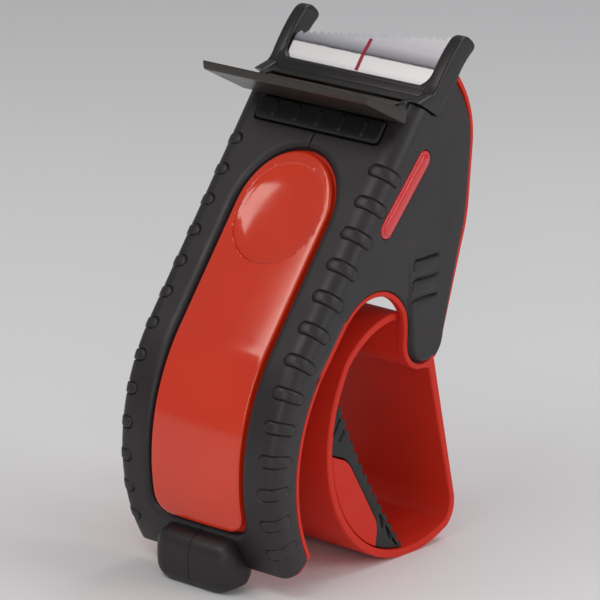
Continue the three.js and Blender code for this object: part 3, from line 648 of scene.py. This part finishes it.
def panel_half(half, low, rise):
    """Right half of the panel's outline as (x, s), from the bottom to the top."""
    corner = curve((half - 6, low), (half, low), (half, low + 6))
    side = resample([(half, low + 6), (half, PANEL_ROUND)], 0.5)
    angles = np.radians(np.linspace(0, 90, 40))
    top = np.column_stack((half * np.cos(angles), PANEL_ROUND + rise * np.sin(angles)))
    line = resample(np.vstack((resample([(0, low), (half - 6, low)], 0.5), corner, side, top)), 0.5)
    return np.column_stack((line[:, 0], z_to_s(line[:, 1])))


def button_window():
    """Right half of the window for the thumb button, from below to above."""
    low, high = (-30, BUTTON_LOW), (-30, BUTTON_HIGH)
    line = rounded([low, (BUTTON_HALF, BUTTON_LOW), (BUTTON_HALF, BUTTON_HIGH), high], 1.6)
    line = line[line[:, 0] > SEAM + 0.2]
    middle = (BUTTON_LOW + BUTTON_HIGH) / 2
    order = np.argsort(np.arctan2(line[:, 1] - middle, line[:, 0] - 10))
    return np.vstack(([SEAM, BUTTON_LOW], line[order], [SEAM, BUTTON_HIGH]))


def wrap_outline(side, foot):
    """Outline (w, s) of the wrapped front, its edges with their radii, and its side."""
    panel = panel_half(*PANEL_WINDOW)
    panel[0, 0] = panel[-1, 0] = SEAM
    button = button_window()
    side = np.column_stack((wrap_w(side[:, 1]), side[:, 0]))
    top = resample([side[-1], (FLAP_ROOM, 74.2), (FLAP_ROOM, FLAP_LOW), (SEAM, FLAP_LOW)], 0.5)
    seam_low = resample([(SEAM, foot[0][1]), (SEAM, panel[0, 1])], 0.6)
    seam_high = resample([(SEAM, panel[-1, 1]), (SEAM, BUTTON_LOW)], 0.6)
    loop = chain(foot, side, top, button[::-1], seam_high[::-1], panel[::-1], seam_low[::-1])
    edges = [(panel, 1.9), (button, 0.35), (foot, 0.9), (top, 0.3), (seam_low, 0.3), (seam_high, 0.3)]
    return loop, edges, side


def tab_edge():
    """Left edge and round end of the flared tab."""
    return np.vstack((curve(*TAB_LINE), arc(LEG_END, TAB_R, 180, 300)))


def tab_lift(points):
    """Flare of the tab on the leg: thin at the top, standing proud at the round end."""
    edge = tab_edge()
    region = np.vstack((edge, [(14, 56), (22, 62), (22, 86), (12.6, 90), (-8.0, 90)]))
    d = distance(points, edge) * np.where(inside(points, [region]), 1, -1)
    d = np.where(points[:, 1] > 90, -5, d)
    proud = 1.35 * np.clip((88 - points[:, 1]) / 34, 0, 1) ** 1.15
    rise = np.clip((d + 0.25) / 0.9, 0, 1)
    lift = proud * np.sqrt(1 - (1 - rise) ** 2)
    valley = np.clip((78 - points[:, 1]) / 12, 0, 1) * np.exp(-(((d + 0.8) / 0.55) ** 2))
    return lift - valley


def hooks_lift(points):
    """Three grip steps: a groove along the top and left of each, and a pad below."""
    lift = np.zeros(len(points))
    for z in HOOKS:
        bend = curve((-6.2, z - 1.9), (-6.5, z + 0.3), (-4.6, z + 0.3))
        line = np.vstack((bend, [(4.6, z + 0.4)]))
        lift -= np.clip(1 - distance(points, line) / 0.52, 0, 1) ** 0.6
        middle = line[len(line) // 2]
        u = (points[:, 0] - HOOK_MIDDLE[0]) / 4.4
        v = (points[:, 1] - middle[1] + 1.9) / 1.6
        lift += 0.2 * np.clip(1 - u**4 - v**4, 0, 1) ** 0.8
    return lift


def tab_detail(points):
    """Where the mesh is fine: on the grip steps and along the tab's edge."""
    off = np.abs(points - HOOK_MIDDLE)
    near_hooks = (off[:, 0] < 6.8) & (off[:, 1] < 9.6)
    return near_hooks | (distance(points, tab_edge()) < 1.7)


def foot_edge(left, back):
    """Edge of a cover's foot from the side: its places (y, z), their s and their depth."""
    aim = FOOT_AIM[left]
    start = on_circle((FRONT_Y, FRONT_Z), FRONT_R + 4, math.radians(FOOT_TURN))
    line = curve(start, (aim[0], aim[1] + RIM), back[0], 0.1)
    return line, *front_s(line[:, 0], line[:, 1])


def foot_across(foot_s, foot_depth):
    """The foot's edge (w, s): straight across the front, then round the corner."""
    start = np.interp(0, foot_depth, foot_s)
    last = float(wrap_w(min(WRAP_END, foot_depth[-1])))
    across = resample([(SEAM, start), (BEND, start)], 0.6)
    w = np.append(np.arange(BEND + 0.5, last - 0.2, 0.5), last)
    around = np.column_stack((w, np.interp(corner_x(w, 0)[1], foot_depth, foot_s)))
    return np.vstack((across, around))


def free_edge(s, depth):
    """Where a side is narrower than the wrap: its edge (s, depth), and where the join begins."""
    narrow = (depth < WRAP_END) & (s < 40)
    first = narrow.nonzero()[0][0]
    reach = slice(first, narrow.sum() + 2)
    join = float(np.interp(WRAP_END, depth[reach], s[reach]))
    return np.column_stack((s, depth))[narrow][1:], join


def wrapped_front(left, side, foot, free_count):
    """The part of a cover from the centre seam round the corner."""
    loop, edges, side_line = wrap_outline(side, foot)
    if left:
        edges.append((side_line[: free_count + 1], 0.7))
    sheet = Sheet([loop], edges, 0.85, rows=rib_rows())
    w, s = sheet.points.T
    lift = ribs_lift(w, s) - sheet.drop
    return (sheet.faces, *[wrap_place(w, s, h) for h in (0 * w, lift, 0 * w - COVER_SKIN)])


def flat_side(left, back, join, low):
    """The rest of a cover, with its holes; the right one has the tab and its steps."""
    seam = resample([join[-1], SEAM_LOW, back[-1]], 0.5)
    border = np.vstack((join[:-1], seam[:-1], back[::-1][:-1], back[:1] if left else low[::-1]))
    holes = [capsule(ACCENT_FROM, ACCENT_TO, ACCENT_R + 0.22)]
    if left:
        holes += [arc(place, 2.7, 0, 350, 0.45) for place in CASE_SCREWS]
    edges = [(back, 0.9), (seam, 0.3)] + [(closed_line(hole), 0.25) for hole in holes]
    if not left:
        edges.append((low, 0.9))
    sheet = Sheet([border, *holes], edges, 1.6, fine=None if left else (tab_detail, 0.3))
    y, z = sheet.points.T
    lift = -sheet.drop
    if not left:
        lift = lift + tab_lift(sheet.points) + hooks_lift(sheet.points)
    levels = (0 * y, lift, 0 * y - COVER_SKIN)
    return (sheet.faces, *side_places([COVER_FACE + level for level in levels], y, z))


def cover(side):
    """One cover: its wrapped front and its flat side, joined in one mesh."""
    left = side == "left"
    back = left_back(RIM) if left else right_back(RIM)
    back_s, back_depth = front_s(back[:, 0], back[:, 1])
    foot_line, foot_s, foot_depth = foot_edge(left, back)
    foot = foot_across(foot_s, foot_depth)
    free, join_s = free_edge(back_s, back_depth) if left else (np.zeros((0, 2)), foot[-1, 1])
    shared = np.linspace(join_s, WRAP_TOP, int((WRAP_TOP - join_s) / 0.5))
    join = np.column_stack((shared, np.full(len(shared), WRAP_END)))
    deepest = min(WRAP_END, foot_depth[-1])
    edge = np.vstack(([(foot[-1, 1], deepest)], free, join if left else join[1:]))
    front = wrapped_front(left, edge, foot, len(free))
    if left:
        back = back[np.argmax(back_depth > WRAP_END) :]
    low = foot_line[foot_depth > WRAP_END][::5]
    flat = flat_side(left, back, np.column_stack(on_front(shared, WRAP_END)), low)
    return solid(side + "_shell", [front, flat], "cover", mirror=left)


# ---- nose
def nose(side):
    """Half of the rounded bumper below the panel."""
    front = curves([(-56.2, 14.8), (-61.9, 14.9), (-61.8, 8.8), (-61.6, 5.0), (-61.0, 2.6), (-60.2, 0.05),
                    (-57.4, 0.02)])
    heel = curve((-50.5, 0.02), (-48.4, 0.6), (-47.6, 8.6))
    loop = resample(np.vstack((front, heel, [(-53.0, 12.3)])), 0.5, closed=True)
    sheet = Sheet([loop], [(closed_line(loop), 4.2)], 1.0)
    y, z = sheet.points.T
    edge = 12.8 - np.clip((4.0 - z) / 4.0, 0, 1)
    places = side_places((edge, edge - sheet.drop, 0 * y + SEAM), y, z)
    return solid(side + "_nose", [(sheet.faces, *places)], "cover", mirror=side == "left")


# ---- front panel and accents
DISH_S, DISH_ALONG, DISH_ACROSS = 36.2, 14.8, 13.2  # the thumb dish on the panel


def panel_lift(x, s):
    """A crowned face with an oval dish pressed into it; the two meet in a soft rim."""
    crown = -0.2 + 0.5 * (1 - (x / 15.5) ** 2)
    q = (x / DISH_ACROSS) ** 2 + ((s - DISH_S) / DISH_ALONG) ** 2
    dish = 0.28 - 0.5 * (x / 15.5) ** 2 - 2.0 * np.sqrt(np.clip(1.02 - q, 0, 1))
    blend = 0.12
    mix = np.clip(0.5 + 0.5 * (crown - dish) / blend, 0, 1)
    return crown * (1 - mix) + dish * mix - blend * mix * (1 - mix)


def front_panel():
    right = panel_half(*PANEL)
    loop = np.vstack((right, right[::-1][1:-1] * (-1, 1)))
    turn = np.radians(np.arange(0, 360, 2.5))
    rim = np.column_stack((DISH_ACROSS * np.cos(turn), DISH_ALONG * np.sin(turn)))
    rows = [rim * k + (0, DISH_S) for k in (0.8, 0.9, 0.95, 0.98, 0.995, 1.01, 1.03, 1.06)]
    sheet = Sheet([loop], [(closed_line(loop), 0.8)], 0.9, rows=rows)
    x, s = sheet.points.T
    places = wall_places(x, s, (0 * x, panel_lift(x, s) - sheet.drop, 0 * x - 1.95))
    piece = solid("panel", [(sheet.faces, *places)], "gloss")
    stands_for(piece, "front_panel")


def accent(side):
    """A round-ended inlay with a raised bar along its middle."""
    loop = capsule(ACCENT_FROM, ACCENT_TO, ACCENT_R, 0.3)
    rows = [capsule(ACCENT_FROM, ACCENT_TO, ACCENT_R * k, 0.3) for k in (0.5, 0.58, 0.63, 0.655, 0.67, 0.7)]
    sheet = Sheet([loop], [(closed_line(loop), 0.4)], 0.5, rows=rows)
    y, z = sheet.points.T
    d = distance(sheet.points, np.array([ACCENT_FROM, ACCENT_TO]))
    dome = 0.1 + 0.5 * np.sqrt(np.clip(1 - (d / (0.66 * ACCENT_R)) ** 2.4, 0, 1))
    levels = [COVER_FACE + h for h in (0 * y, dome - 0.5 * sheet.drop, 0 * y - 0.85)]
    parts = [(sheet.faces, *side_places(levels, y, z))]
    piece = solid(side + "_accent_bar", parts, "accent", mirror=side == "left")
    stands_for(piece, side + "_accent")


# ---- red frames
RIM_FACE, PLATE_FACE, INNER_FACE = 27.4, 26.1, 24.6  # faces of a side plate


def frame_plate(left):
    """Side plate of a frame: its rim stands up round the cover that lies on it."""
    back = left_back(0) if left else right_back(0)
    front = np.array([on_front(s, 2.4) for s in np.linspace(72.5, -62.4, 260)])
    seam = resample([back[-1], SEAM_LOW, front[0]], 0.5)
    foot = curve(front[-1], FOOT_AIM[left], back[0])
    loop = chain(back, seam, front, foot)
    edge = np.vstack((foot[:-1], back))
    sheet = Sheet([loop], [(edge, 0.5)], 2.5, rows=[beside(edge, (1.38, 1.5))])
    y, z = sheet.points.T
    face = np.where(distance(sheet.points, edge) < 1.44, RIM_FACE, PLATE_FACE)
    depth = np.clip(front_s(y, z)[1], 0, CORNER)
    corner = BEND + np.sqrt(CORNER**2 - (CORNER - depth) ** 2)
    face = np.minimum(face, corner - 0.5)
    levels = (0 * y + RIM_FACE, face - sheet.drop, INNER_FACE + 0.6 * sheet.drop)
    return (sheet.faces, *side_places(levels, y, z))


def frame_wall():
    """Front wall of a frame, with room for the nose at its foot."""
    corners = [(SEAM, -55), (13.2, -55), (13.2, -60.5), (24.9, -60.5), (24.9, 60.0), (SEAM, 60.0)]
    loop = resample(corners, 1.5, closed=True)
    sheet = Sheet([loop], [(closed_line(loop), 0.2)], 2.2)
    x, s = sheet.points.T
    return (sheet.faces, *wall_places(x, s, (0 * x - 2.1, -2.1 - sheet.drop, 0 * x - 3.6)))


def frame_shell(side):
    """One red half shell: its side plate and its front wall."""
    left = side == "left"
    piece = solid(side + "_frame_shell", [frame_plate(left), frame_wall()], "red", mirror=left)
    stands_for(piece, side + "_frame")


# ---- head
FLAP_AXIS = (-9.6, 125.7)  # the flap turns about this line
EYE_FROM, EYE_TO = 22.4, 24.4  # sides of a hinge eye


def head_arm():
    """One arm: flush with the cover along the seam, rounded along its free edge."""
    seam = resample([SEAM_FRONT, SEAM_LOW, SEAM_BACK], 0.5)
    edge = curves([SEAM_BACK, (9.6, 135.8), (13.4, 138.6), (16.0, 140.4), (12.9, 142.4), (10.2, 144.6),
                   (7.4, 142.6), (3.4, 139.2), (-0.8, 132.8), (-2.0, 130.6), (-3.6, 129.7)])
    free = np.vstack((edge, resample([edge[-1], SEAM_FRONT], 0.5)[1:]))
    sheet = Sheet([chain(seam, free)], [(seam, 0.12), (free, 0.9)], 1.6)
    y, z = sheet.points.T
    return (sheet.faces, *side_places((0 * y + 27.8, 27.8 - sheet.drop, 24.1 + sheet.drop), y, z))


def lip_outline():
    """Section of the bar under the blade: hood towards the flap, step, rounded lip."""
    hood = [(-5.6, 126.3), (-7.2, 127.6), (-7.15, 128.15), (-4.2, 128.85)]
    step = [(-3.95, 128.6), (-3.7, 129.0)]
    lip = [(-3.3, 129.9), (-2.9, 130.95), (-1.7, 131.25), (0.1, 130.3), (0.1, 128.2)]
    underside = [(-1.4, 124.6), (-3.6, 124.0)]
    return rounded(hood + step + lip + underside, 0.35, 0.12)


def window_corner():
    """Soft corner between the lip and an arm, following the front edge of the arm."""
    bend = arc((20.2, 134.9), 4.2, 0, -90, 0.4)
    outline = np.vstack(([(25.3, 130.0), (25.3, 134.9)], bend, [(20.2, 130.0)]))
    outline = resample(outline, 0.4, closed=True)
    sheet = Sheet([outline], [(closed_line(outline), 0.2)], 0.8)
    x, z = sheet.points.T
    front = np.interp(z, (129.7, 132.8, 135.2), (-3.4, -0.6, 1.0))
    places = [np.column_stack((x, y, z)) for y in (front, front + sheet.drop, front + 1.4 - sheet.drop)]
    return (sheet.faces, *places)


def head():
    """The head: two arms with their hinge eyes, and the bar between them."""
    web = rounded([(-9.0, 128.4), (-8.2, 123.6), (-0.6, 123.8), (-0.6, 128)], 0.8)
    eye = arc(FLAP_AXIS, 2.55, 0, 355, 0.4)
    hinge = [plate_parts([outline], EYE_FROM, EYE_TO, 0.3) for outline in (web, eye)]
    parts = [head_arm(), *hinge, window_corner()]
    lip = plate_parts([lip_outline()], -24.5, 24.5, 0.2)
    right = solid("head_right", parts, "head")
    left = solid("head_left", parts, "head", mirror=True)
    bar = solid("head_lip", [lip], "head")
    stands_for(joined("head", [right, left, bar]), "head_frame")


# ---- flap
FLAP_HALF = 27.05
BARREL_R = 1.98  # outer radius of the flap's hinge barrels


def flap():
    """The shelf, its two necks and barrels, and a thin skin over the spring."""
    front = [(-13.4, 123.6), (-14.2, 123.4), (-31.55, 131.05)]
    shelf = [(-32.05, 133.55), (-26.8, 131.75), (-21.5, 129.9), (-14.2, 127.6), (-13.4, 127.6)]
    wide = rounded(front + shelf, 0.5, 0.2)
    neck = rounded([(-9.6, 123.75), (-14.5, 123.6), (-18, 126.2), (-14.2, 127.6), (-9.6, 127.65)], 0.5, 0.3)
    barrel = arc(FLAP_AXIS, BARREL_R, 0, 356, 0.35)
    parts = [plate_parts([wide], -FLAP_HALF, FLAP_HALF, 0.45, 2.5)]
    for x0, x1 in ((-22.1, -6.0), (6.0, 22.1)):
        parts.append(plate_parts([neck], x0, x1, 0.3))
        parts.append(plate_parts([barrel], x0, x1, 0.3))
    bridge = rounded([(-12.8, 124.2), (-16, 124.6), (-16, 127.4), (-12.8, 127.5)], 0.3, 0.3)
    parts.append(plate_parts([bridge], -6.4, 6.4, 0.1))
    skin = np.vstack((arc(FLAP_AXIS, BARREL_R, 60, 175, 0.3), arc(FLAP_AXIS, BARREL_R - 0.2, 175, 60, 0.3)))
    parts.append(plate_parts([resample(skin, 0.3, closed=True)], -6.2, 6.2, 0.04))
    stands_for(solid("flap", parts, "flap", body="flap"), "wiper_flap")


# ---- thumb button
def button_cap():
    """The ribbed face of the button, with its body behind it."""
    loop = rounded([(-20.5, 60.85), (20.5, 60.85), (20.5, 67.55), (-20.5, 67.55)], 1.5)
    ribs = [((i * 7.4, 62.6), (i * 7.4, 65.8)) for i in range(-2, 3)]
    rows = [capsule(a, b, r, 0.3) for a, b in ribs for r in (0.3, 0.5, 0.62, 0.72, 0.85, 1.0)]
    sheet = Sheet([loop], [(closed_line(loop), 0.7)], 0.8, rows=rows)
    x, s = sheet.points.T
    d = np.min([distance(sheet.points, np.array(rib)) for rib in ribs], axis=0)
    rib_lift = 0.5 * np.sqrt(np.clip(1 - (d / 0.72) ** 2, 0, 1))
    return (sheet.faces, *wall_places(x, s, (0 * x, 0.75 + rib_lift - sheet.drop, 0 * x - 4.0)))


def button_block(half, low, high, near, far):
    """A flat block behind the cap, from its half width, ends and lifts."""
    loop = rounded([(-half, low), (half, low), (half, high), (-half, high)], 0.5)
    sheet = Sheet([loop], [(closed_line(loop), 0.15)], 3)
    x, s = sheet.points.T
    return (sheet.faces, *wall_places(x, s, (0 * x + near, near - sheet.drop, 0 * x + far)))


def thumb_button():
    """The cap, the flange behind it, and the plunger that works the brake lever."""
    flange = button_block(21.4, 60.0, 68.1, -3.75, -4.55)
    plunger = button_block(3, 64.1, 66.0, -4, -6.2)
    piece = solid("button_cap", [button_cap(), flange, plunger], "button", body="button")
    stands_for(piece, "thumb_button")


# ---- hub
HUB, HUB_R = (3.9, 39.6), 39.8  # centre and outer radius of the round part
HUB_WALL, HUB_HALF = 2.3, 24.4
RING_FROM, RING_TO = -64, -209  # angles between which the hub is round
WALL_FOOT, WALL_TOP = (24.0, 12.6), (10.2, 54.2)  # ends of its straight back wall


def hub_outline(inset):
    """Side outline of the hub, moved inwards: ring, neck at the leg, back wall."""
    radius = HUB_R - inset
    crown = arc((-8.0, 42.0), 29.0 - inset, 140, 93, 0.7)
    neck_top = (-4.2 - inset, 67.6 - inset * 0.6)
    neck_foot = (-3.6 - inset, 60.2 - inset * 0.3)
    shelf = (-0.6 - inset * 0.4, 56.8 - inset)
    wall_top = (WALL_TOP[0] - inset, WALL_TOP[1] - inset)
    wall_foot = (WALL_FOOT[0] - inset * 0.954, WALL_FOOT[1])
    ring_start = on_circle(HUB, radius, math.radians(RING_FROM))
    outline = chain(arc(HUB, radius, RING_FROM, RING_TO, 0.7),
                    crown,
                    curve(crown[-1], (-4.6 - inset, 70.9 - inset), neck_top, 0.3),
                    resample([neck_top, neck_foot], 0.7),
                    curve(neck_foot, (-3.4 - inset, 57.4 - inset), shelf, 0.3),
                    resample([shelf, wall_top], 0.7),
                    resample([wall_top, wall_foot], 0.7),
                    curve(wall_foot, (25.3 - inset * 1.2, 7.0 + inset * 0.6), ring_start, 0.4))
    return resample(outline, 0.7, closed=True)


def hub_wall_point(z, depth):
    """A place on the hub's back wall, this deep under its face."""
    t = (z - WALL_FOOT[1]) / (WALL_TOP[1] - WALL_FOOT[1])
    return (WALL_FOOT[0] - (WALL_FOOT[0] - WALL_TOP[0]) * t - depth, z - depth * 0.33)


def hub_lug():
    """Outline of the flat plate that is screwed to the leg."""
    front = [(10, 53.4), (-5.2, 56.6)]
    corners = (curve((-5.6, 67.6), (-5.4, 70.4), (-2.8, 70.6)), curve((4.4, 70.6), (7.4, 70.4), (8, 67.6)))
    return resample(np.vstack((front, *corners)), 0.5, closed=True)


def hub():
    """The ring, cut for the latch at its open end, and its lug."""
    outer = hub_outline(0)
    outer[:, 1] = np.maximum(outer[:, 1], 0)
    ring = plate_parts([outer, hub_outline(HUB_WALL)], -HUB_HALF, HUB_HALF, 0.6, 4)
    slot = rounded([hub_wall_point(z, d) for z, d in ((27.6, -2), (36.4, -2), (36.4, 4), (27.6, 4))], 0.4)
    shell = solid("hub_ring_shell", [ring], "red")
    cut_away(shell, [plate_parts([slot], -40, -12.6, 0.1)])
    lug = solid("hub_lug", [plate_parts([hub_lug()], 21.4, 24.35, 0.5)], "red")
    stands_for(joined("hub", [shell, lug]), "hub_ring")


# ---- palm grip in the hub
GRIP_R = HUB_R - HUB_WALL - 0.3
GRIP_LOW, GRIP_HIGH = math.radians(-92), math.radians(-199)  # where the grip's chord meets the ring
PAD_HALF = 23.4
CHORD_OUT = (0.75, 0.66)  # direction (y, z) out of the grip's face
PAD_CUTS = ((0.05, (-2.2, -4.2)), (0.12, (-3.4, -4.6)), (0.20, (-2.8, -3.2)),
            (0.76, (0.2, -5.0)), (0.84, (0.6, -4.6)), (0.92, (0.4, -2.8)))  # share of the chord, reach


def chord():
    """The face of the grip, a shallow curve across the hub."""
    return curve(on_circle(HUB, GRIP_R, GRIP_HIGH), (-20, 29), on_circle(HUB, GRIP_R, GRIP_LOW), 0.4)


def insert_line(grow):
    """Edge of the red insert towards the pad, from its upper end."""
    start = on_circle(HUB, GRIP_R, math.radians(-174) - grow / 36)
    end = on_circle(HUB, GRIP_R, math.radians(-114) + grow / 36)
    knee = [(y + grow, z + grow) for y, z in ((-27.6, 33.6), (-25.4, 32.6), (-23.4, 29.6))]
    ankle = [(-12.3 + grow, 14.2 + grow), (-10.4 + grow, 11.4 + grow), (-11 + grow, 8.2)]
    middle = resample([knee[2], ankle[0]], 0.5)
    line = chain(resample([start, knee[0]], 0.5), curve(*knee), middle, curve(*ankle))
    return np.vstack((line, resample([ankle[2], end], 0.5)))


def palm_core():
    loop = chain(insert_line(0), arc(HUB, GRIP_R, -114, -174))
    piece = solid("palm_core", [plate_parts([loop], -24, 24, 0.35)], "red")
    stands_for(piece, "palm_grip_core")


def pad_body(line):
    """The rubber between insert and chord, with short cuts on its sides."""
    shift = np.array(CHORD_OUT)
    low_arc = arc(HUB, GRIP_R, -113.6, -92)
    high_arc = arc(HUB, GRIP_R, -199, -174.6)
    loop = np.vstack((high_arc[:-1], insert_line(0.3)[:-1], low_arc[:-1], (line - shift)[::-1][1:-1]))
    loop = resample(loop, 0.5, closed=True)
    cuts = []
    for share, reach in PAD_CUTS:
        place = line[int(len(line) * share)]
        cuts.append((place - shift * 1.6, place + reach))
    rows = [capsule(a, b, radius, 0.3) for a, b in cuts for radius in (0.12, 0.3, 0.5)]
    sheet = Sheet([loop], [(closed_line(loop), 0.4)], 1.6, rows=rows)
    y, z = sheet.points.T
    near = np.min([distance(sheet.points, np.array(cut)) for cut in cuts], axis=0)
    groove = 1.3 * np.clip(1 - near / 0.55, 0, 1) ** 0.6
    levels = (0 * y + PAD_HALF, PAD_HALF - sheet.drop - groove, sheet.drop - PAD_HALF)
    return (sheet.faces, *side_places(levels, y, z))


def pad_skin(line):
    """The skin along the chord, with V-shaped grooves."""
    along = np.concatenate(([0], np.cumsum(np.linalg.norm(np.diff(line, axis=0), axis=1))))
    half = 23.3
    low = 1.2
    high = along[-1] - low
    border = resample([(-half, low), (half, low), (half, high), (-half, high)], 0.6, closed=True)
    sheet = Sheet([border], [(closed_line(border), 0.5)], 0.5)
    x, t = sheet.points.T
    phase = (t + 0.55 * np.abs(x)) % 4.2
    lift = -1.15 * np.clip(1 - np.abs(phase - 2.1) / 0.9, 0, 1) ** 0.6
    y = np.interp(t, along, line[:, 0])
    z = np.interp(t, along, line[:, 1])
    places = []
    for level in (0 * x, lift - sheet.drop, 0 * x - 1.6):
        places.append(np.column_stack((x, y + level * CHORD_OUT[0], z + level * CHORD_OUT[1])))
    return (sheet.faces[:, ::-1], *places)


def palm_pad():
    line = chord()
    piece = solid("palm_pad", [pad_body(line), pad_skin(line)], "rubber")
    stands_for(piece, "palm_grip_pad")


# ---- all pieces
for side in ("right", "left"):
    cover(side)
for side in ("right", "left"):
    shell = bpy.data.objects[side + "_shell"]
    stands_for(joined(side + "_cover_shell", [shell, nose(side)]), side + "_cover")
    accent(side)
    frame_shell(side)
front_panel()
head()
flap()
thumb_button()
hub()
palm_core()
palm_pad()

for name, obj in nodes.items():
    if not obj.hide_render:
        dress(obj, NODE_LOOKS.get(name, "pin"))
        soften(obj)


# ---- floor, light and camera, in metres
AIM = (0, 0, 0.07)  # the lights point at this place


def floor():
    mesh = bpy.data.meshes.new("floor")
    corners = [(x, y, 0) for x, y in ((-6, -6), (6, -6), (6, 6), (-6, 6))]
    mesh.from_pydata(corners, [], [(0, 1, 2, 3)])
    obj = placed("floor", mesh)
    look = Look("floor_paper", 0.9)
    look.color(look.ramp(look.noise(3, 4), [(0.3, (0.86, 0.86, 0.86)), (0.7, (0.89, 0.89, 0.89))]))
    look.bump(look.noise(900, 3), 0.1, 0.05 * MM)
    mesh.materials.append(look.material)


def softbox(name, place, width, height, watts, color=(1, 1, 1)):
    data = bpy.data.lights.new(name, "AREA")
    data.shape = "RECTANGLE"
    data.size = width
    data.size_y = height
    data.energy = watts
    data.color = color
    obj = placed(name, data)
    direction = Vector(AIM) - Vector(place)
    obj.location = place
    obj.rotation_euler = direction.to_track_quat("-Z", "Y").to_euler()


def camera():
    """A long lens from the front right and a little above, leaning slightly."""
    azimuth = math.radians(38)
    lift = math.radians(19.5)
    lean = Matrix.Rotation(math.radians(5), 3, "X")
    away = 1.067
    target = Vector((0, -0.0004, 0.071))
    side = math.sin(azimuth)
    front = math.cos(azimuth)
    right = lean @ Vector((front, side, 0))
    forward = lean @ Vector((-side * math.cos(lift), front * math.cos(lift), -math.sin(lift)))
    up = lean @ Vector((-side * math.sin(lift), front * math.sin(lift), math.cos(lift)))
    data = bpy.data.cameras.new("camera")
    data.lens = 240
    data.sensor_width = 36
    obj = placed("camera", data)
    turn = Matrix((right, up, -forward)).transposed()
    obj.matrix_world = Matrix.Translation(target - forward * away) @ turn.to_4x4()
    bpy.context.scene.camera = obj


def world():
    background = bpy.data.worlds.new("studio")
    bpy.context.scene.world = background
    background.use_nodes = True
    node = background.node_tree.nodes["Background"]
    node.inputs["Color"].default_value = (0.95, 0.96, 1.0, 1)
    node.inputs["Strength"].default_value = 0.3


bpy.context.scene.view_settings.view_transform = "Standard"
floor()
world()
camera()
softbox("key", (0.05, -0.66, 0.80), 0.42, 0.36, 1.6)
softbox("dish", (-0.34, -0.62, 0.78), 0.30, 0.32, 1.1, (1.0, 0.92, 0.84))
softbox("front", (0.66, -0.80, 0.34), 0.3, 0.5, 1.3)
softbox("side", (1.0, 0.35, 0.5), 0.5, 0.7, 2.9)
softbox("top", (0.1, 0.5, 0.95), 0.6, 0.5, 2.2)
